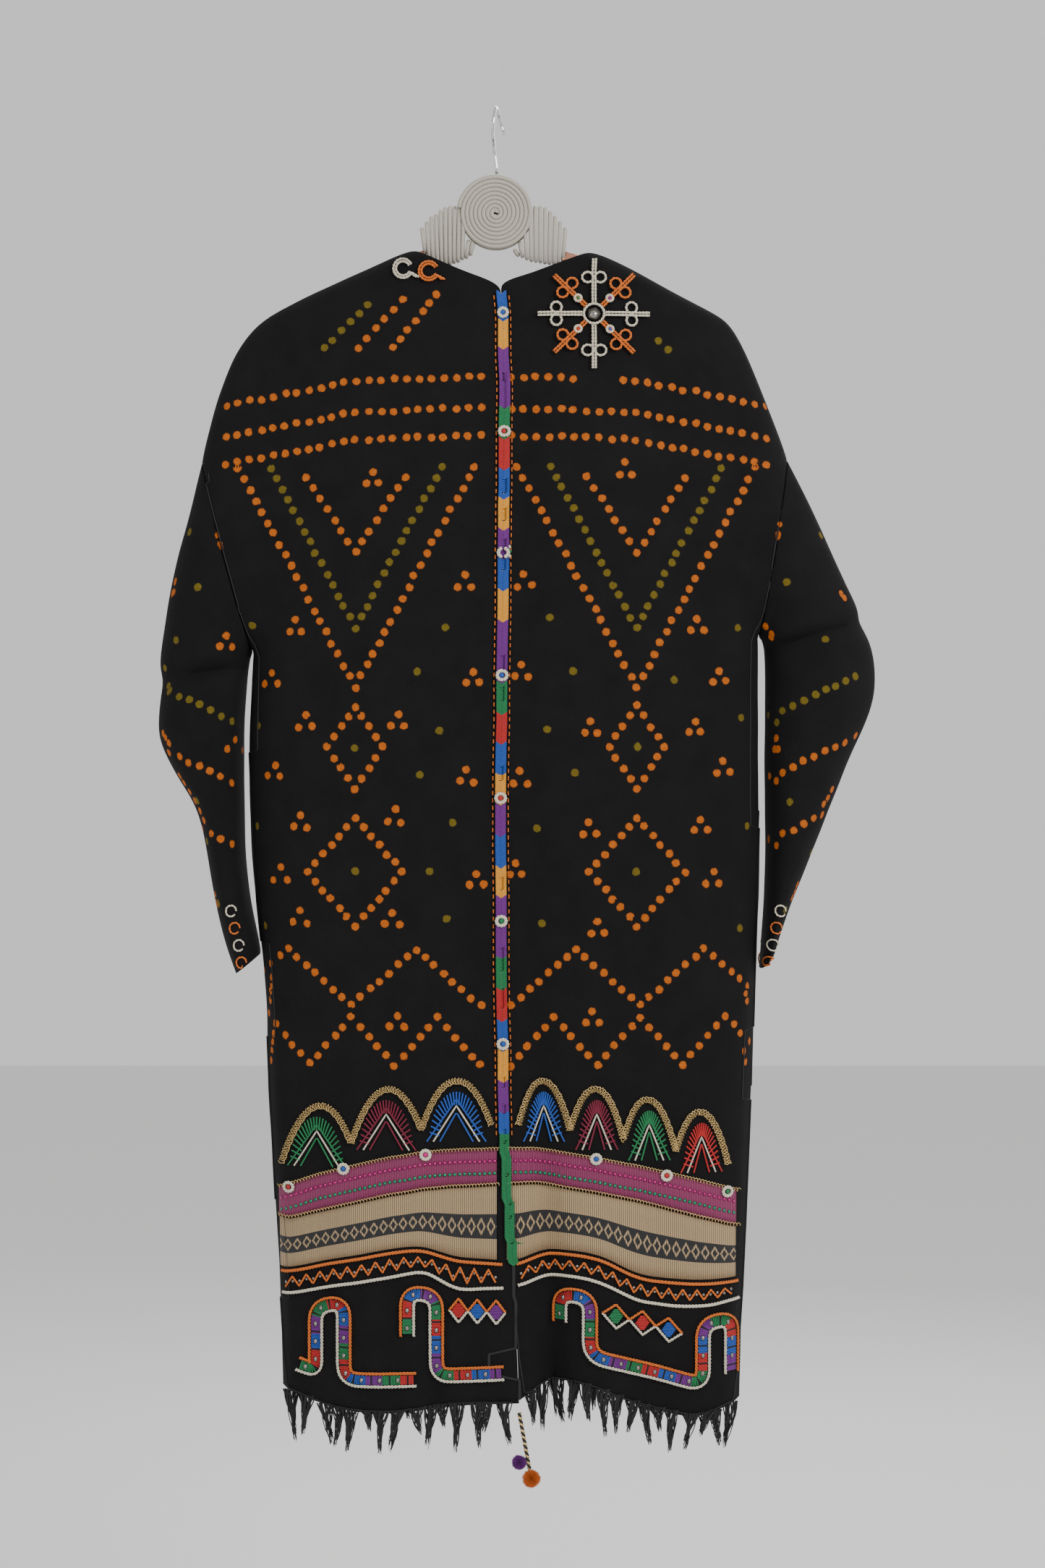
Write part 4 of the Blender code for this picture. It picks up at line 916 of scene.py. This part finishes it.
# %% Side and shoulder seams
for way, side in SIDES:
    sleeve_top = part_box("sleeve_" + side)[1][2] / MM
    down = []
    for z in np.arange(sleeve_top - 230, height(hems[side], way * 180.0) + 4, -8.0):
        spot = skins[BACK].ray_cast(Vector((way * 0.5, -0.0012, z * MM)), Vector((-way, 0, 0)))[0]
        if spot:
            down.append(Vector((spot.x - way * 0.8 * MM, 0, spot.z)))
    cords("side_seam." + side, [(down, "black")], 1.2, [])
    crest = edge("back_" + side, 1.0, step=4.0)
    over = [Vector((x, -0.5, z - 2.4)) * MM for x, z in crest if 75 < way * x < 190]
    cords("shoulder_seam." + side, [(over, "black")], 1.2, [])

# %% [markdown]
# Small couched loops finish the cuffs, in cream and orange by turns.

# %% Cuff embroidery
for facing, face in WORDS:
    for way, side in SIDES:
        runs = []
        for k, z in enumerate((-752, -768, -784, -800)):
            near = np.array([v.co for v in cloth["sleeve_" + side].data.vertices]) / MM
            near = near[np.abs(near[:, 2] - z) < 6]
            x = (near[:, 0].min() + near[:, 0].max()) / 2
            loop = [(x + 4.2 * math.cos(a), z + 5.2 * math.sin(a)) for a in np.linspace(0, 5.6, 14)]
            runs += plies(laid(loop, 1.0, facing, step=1.2, skin=sleeve_skin),
                          "orange" if k % 2 else "cream", reach=0.4)
        cords(f"cuff_loops.{face}.{side}", runs, 0.6, [], 0)

# %% [markdown]
# A rosette is drawn with doubled cord: eight stems from a mirror, each with
# two loops, cream and orange by turns.

# %% Rosettes
runs, stones = [], []
for petal in range(8):
    turn = math.pi / 2 + petal * math.pi / 4
    along = np.array((math.cos(turn), math.sin(turn)))
    across = np.array((-along[1], along[0]))
    color = "orange" if petal % 2 else "cream"
    for off in (-1.3, 1.3):
        stem = [np.array(ROSE) + along * r + across * off for r in (11, 52)]
        runs += plies(laid(stem, 3.2, step=0.9), color, reach=0.5)
    for way in (-1, 1):
        loop = [np.array(ROSE) + along * (35 + 5.0 * math.sin(a)) + across * way * (6.0 - 5.2 * math.cos(a))
                for a in np.linspace(-0.4, 5.4, 16)]
        runs += plies(laid(loop, 3.2, step=0.9), color, reach=0.5)
    if petal % 2:
        stones += button_spots(*(np.array(ROSE) + along * 21), FOUR[petal // 2], 4.4, 3.6)
ring = [np.array(ROSE) + 9.5 * np.array((math.cos(a), math.sin(a))) for a in np.linspace(0, 6.283, 32)]
runs += plies(laid(ring, 3.2, step=0.9), "cream", reach=0.6)
cords("rosette.right", runs, 0.8, ["rosette_right"], 0)
spot, out = lifted(*ROSE, 2.6)
beads("rosette.middle", stones + [(spot, out, 7 * MM, 7 * MM, 1.2 * MM, "mica")], [])
for name, x, z, color in (("cream", -87, -152.5, "cream"), ("orange", -63, -155, "orange")):
    runs = []
    for size in (6.6, 9.0):
        loop = [(x + size * math.cos(a), z + size * math.sin(a)) for a in np.linspace(0.5, 5.8, 24)]
        runs += plies(laid(loop + [(x + size + 6, z - 8)], 2.2, step=0.9), color, reach=0.5)
    cords("rosette_left." + name, runs, 0.8, ["rosette_left_" + name], 0)

# %% [markdown]
# The fringe is the warp itself, left long and twisted by wear into uneven
# locks. Each lock is a bundle of fine threads that draw together to a tip.

# %% Fringe and tail
LOCKS = {"back": 15, "front": 8}
LOCK_THREADS = 22
POMPOM_THREADS = 420
GOLDEN_TURN = 2.4             # radians between threads, so that they spread evenly over a ball
for facing, face in WORDS:
    for _, side in SIDES:
        node = f"fringe_{face}_{side}"
        low, high = (np.array(corner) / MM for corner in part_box(node))
        hem_line = edge(f"{face}_{side}", 0.0)
        runs = [(laid(hem_line + (0, 1.5), 0.4, facing, step=3.0), "black")]
        for lock in range(LOCKS[face]):
            x = low[0] + 4 + (high[0] - low[0] - 8) * (lock + random.uniform(0.25, 0.75)) / LOCKS[face]
            hem = height(hem_line, x)
            drop = (hem - low[2]) * random.uniform(0.45, 0.95)
            root, out = on_cloth(x * MM, (hem + 4) * MM, facing)
            tip_x, spin = random.uniform(-6, 6), random.uniform(0, 6.28)
            for thread in range(LOCK_THREADS):
                spread = random.uniform(-7, 7)
                points, reach = [], drop * random.uniform(0.7, 1.0)
                for k in range(7):
                    t = k / 6
                    swirl = spin + t * 5 + thread
                    points.append(root + Vector((
                        (spread * (1 - t) ** 1.5 + tip_x * t * t + 1.6 * math.sin(swirl)) * MM,
                        out.y * 0.6 * MM + 1.4 * math.cos(swirl) * MM, -(2 + reach * t) * MM)))
                runs.append((points, "black", [1, 1, 1, 0.9, 0.8, 0.6, 0.3]))
        cords(f"fringe.{face}.{side}", runs, 0.7, [node], 0)

tail_low, tail_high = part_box("tail_cord")
start = Vector(((tail_low[0] + 0.0022), (tail_low[1] + tail_high[1]) / 2, tail_high[2]))
end = Vector((tail_high[0] - 0.0022, (tail_low[1] + tail_high[1]) / 2, tail_low[2]))
tail = [start.lerp(end, k / 40) for k in range(41)]
cords("tail.cord", plies(tail, "gold", 3.0, 1.1, "black"), 1.1, ["tail_cord"])
for node, color in (("tail_ball_upper", "purple"), ("tail_ball_lower", "orange")):
    low, high = (Vector(corner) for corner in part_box(node))
    middle, radius = (low + high) / 2, (high.x - low.x) / 2
    runs = []
    for k in range(POMPOM_THREADS):
        up = 1 - 2 * (k + 0.5) / POMPOM_THREADS
        flat = math.sqrt(1 - up * up)
        way = Vector((math.cos(k * GOLDEN_TURN) * flat, math.sin(k * GOLDEN_TURN) * flat, up))
        runs.append(([middle, middle + way * radius * random.uniform(0.9, 1.08)], color, [1, 0.5]))
    cords(node.replace("_", "."), runs, 0.5, [node], 0)

# %% [markdown]
# The hanger is a wire hook over a disc of cotton cord wound in a spiral, and
# two copper coloured arms with the same cord wound round them by the neck.

# %% Hanger
low, high = (np.array(corner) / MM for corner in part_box("hanger_disc"))
centre, radius = (low + high) / 2, (high[0] - low[0]) / 2
runs = []
for way in (-1, 1):
    depth = centre[1] + way * ((high[1] - low[1]) / 2 - 2.1)
    spiral = []
    for k in range(360):
        turn, reach = k / 360 * 8.5 * 2 * math.pi, 1.5 + (radius - 4.0) * k / 359
        spiral.append(Vector((centre[0] + math.cos(turn) * reach, depth,
                              centre[2] + math.sin(turn) * reach)) * MM)
    runs.append((spiral, "hemp"))
cords("hanger.disc", runs, 2.1, ["hanger_disc"], 2)
for _, side in SIDES:
    node = "hanger_wrap_" + side
    spots = np.array([v.co for v in bpy.data.objects[node].data.vertices]) / MM
    runs = []
    turns = round(np.ptp(spots[:, 0]) / 4.3)
    for k in range(turns):
        x = spots[:, 0].min() + 2.1 + (np.ptp(spots[:, 0]) - 4.2) * k / (turns - 1)
        near = spots[np.abs(spots[:, 0] - x) < 7]
        middle, half = (near.min(0) + near.max(0)) / 2, np.maximum((near.max(0) - near.min(0)) / 2, 3.5)
        runs.append(([Vector((x + (k - turns / 2) * 0.25 * math.sin(a),
                              middle[1] + (half[1] - 1.6) * math.cos(a),
                              middle[2] + (half[2] - 1.6) * math.sin(a))) * MM
                      for a in np.linspace(0, 6.283, 33)], "hemp"))
    cords("hanger.wrap_" + side, runs, 2.0, [node], 2)


def polished(node, color, levels):
    build = bmesh.new()
    build.from_mesh(bpy.data.objects[node].data)
    bmesh.ops.remove_doubles(build, verts=build.verts, dist=0.01 * MM)
    mesh = bpy.data.meshes.new(node.replace("_", ".", 1))
    build.to_mesh(mesh)
    build.free()
    obj = finished(mesh.name, mesh, [YARN[color]])
    layer = obj.modifiers.new("round", "SUBSURF")
    layer.levels = layer.render_levels = levels
    settle(baked(obj), [node])


polished("hanger_hook", "chrome", 0)
for _, side in SIDES:
    polished("hanger_arm_" + side, "copper", 1)
print("trims finished")

# %% [markdown]
# The coat is cut from straight loom widths. This cell only reads the box of each piece of cloth.

# %% Boxes of the cloth pieces
for node, piece in cloth.items():
    low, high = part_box(node)

# %% [markdown]
# Last come the camera and the light. The coat is seen level, from 2.8 m, in
# soft light from the upper right, over a plain pale floor.

# %% Camera, floor and light
VIEW_DISTANCE = 2.8
VIEW_HEIGHT = 1.474           # how much of the coat's plane the picture's height shows
AIM = (0.0245, -0.634)
SENSOR = 24.0

camera_data = bpy.data.cameras.new("camera")
camera_data.sensor_fit = "VERTICAL"
camera_data.sensor_height = SENSOR
camera_data.lens = SENSOR * VIEW_DISTANCE / VIEW_HEIGHT
camera = bpy.data.objects.new("camera", camera_data)
camera.location = (AIM[0], -VIEW_DISTANCE, AIM[1])
camera.rotation_euler = (math.pi / 2, 0, 0)
bpy.context.scene.collection.objects.link(camera)
bpy.context.scene.camera = camera

FLOOR_DROP = 1.75
floor_build = bmesh.new()
bmesh.ops.create_grid(floor_build, x_segments=2, y_segments=2, size=9.0)
floor_mesh = bpy.data.meshes.new("floor")
floor_build.to_mesh(floor_mesh)
floor_build.free()
floor_finish = Finish("pale_floor", (0.80, 0.795, 0.79), 0.9)
floor = finished("floor", floor_mesh, [floor_finish.material], smooth=False)
floor.location = (0, 0, -FLOOR_DROP)

world = bpy.data.worlds.new("pale_room")
world.use_nodes = True
world.node_tree.nodes["Background"].inputs["Color"].default_value = (0.80, 0.80, 0.80, 1)
world.node_tree.nodes["Background"].inputs["Strength"].default_value = 1.0
bpy.context.scene.world = world


def softbox(name, place, aim, size, power):
    lamp_data = bpy.data.lights.new(name, "AREA")
    lamp_data.size, lamp_data.energy = size, power
    lamp = bpy.data.objects.new(name, lamp_data)
    lamp.location = place
    lamp.rotation_euler = (Vector(aim) - Vector(place)).to_track_quat("-Z", "Y").to_euler()
    bpy.context.scene.collection.objects.link(lamp)


softbox("key", (1.9, -2.2, 0.9), (0, 0, -0.6), 1.4, 85)
softbox("fill", (-2.2, -2.0, -0.2), (0, 0, -0.7), 2.0, 18)
softbox("behind", (0.6, 2.6, 0.8), (0, 0, -0.6), 1.8, 45)
print("camera and light set")
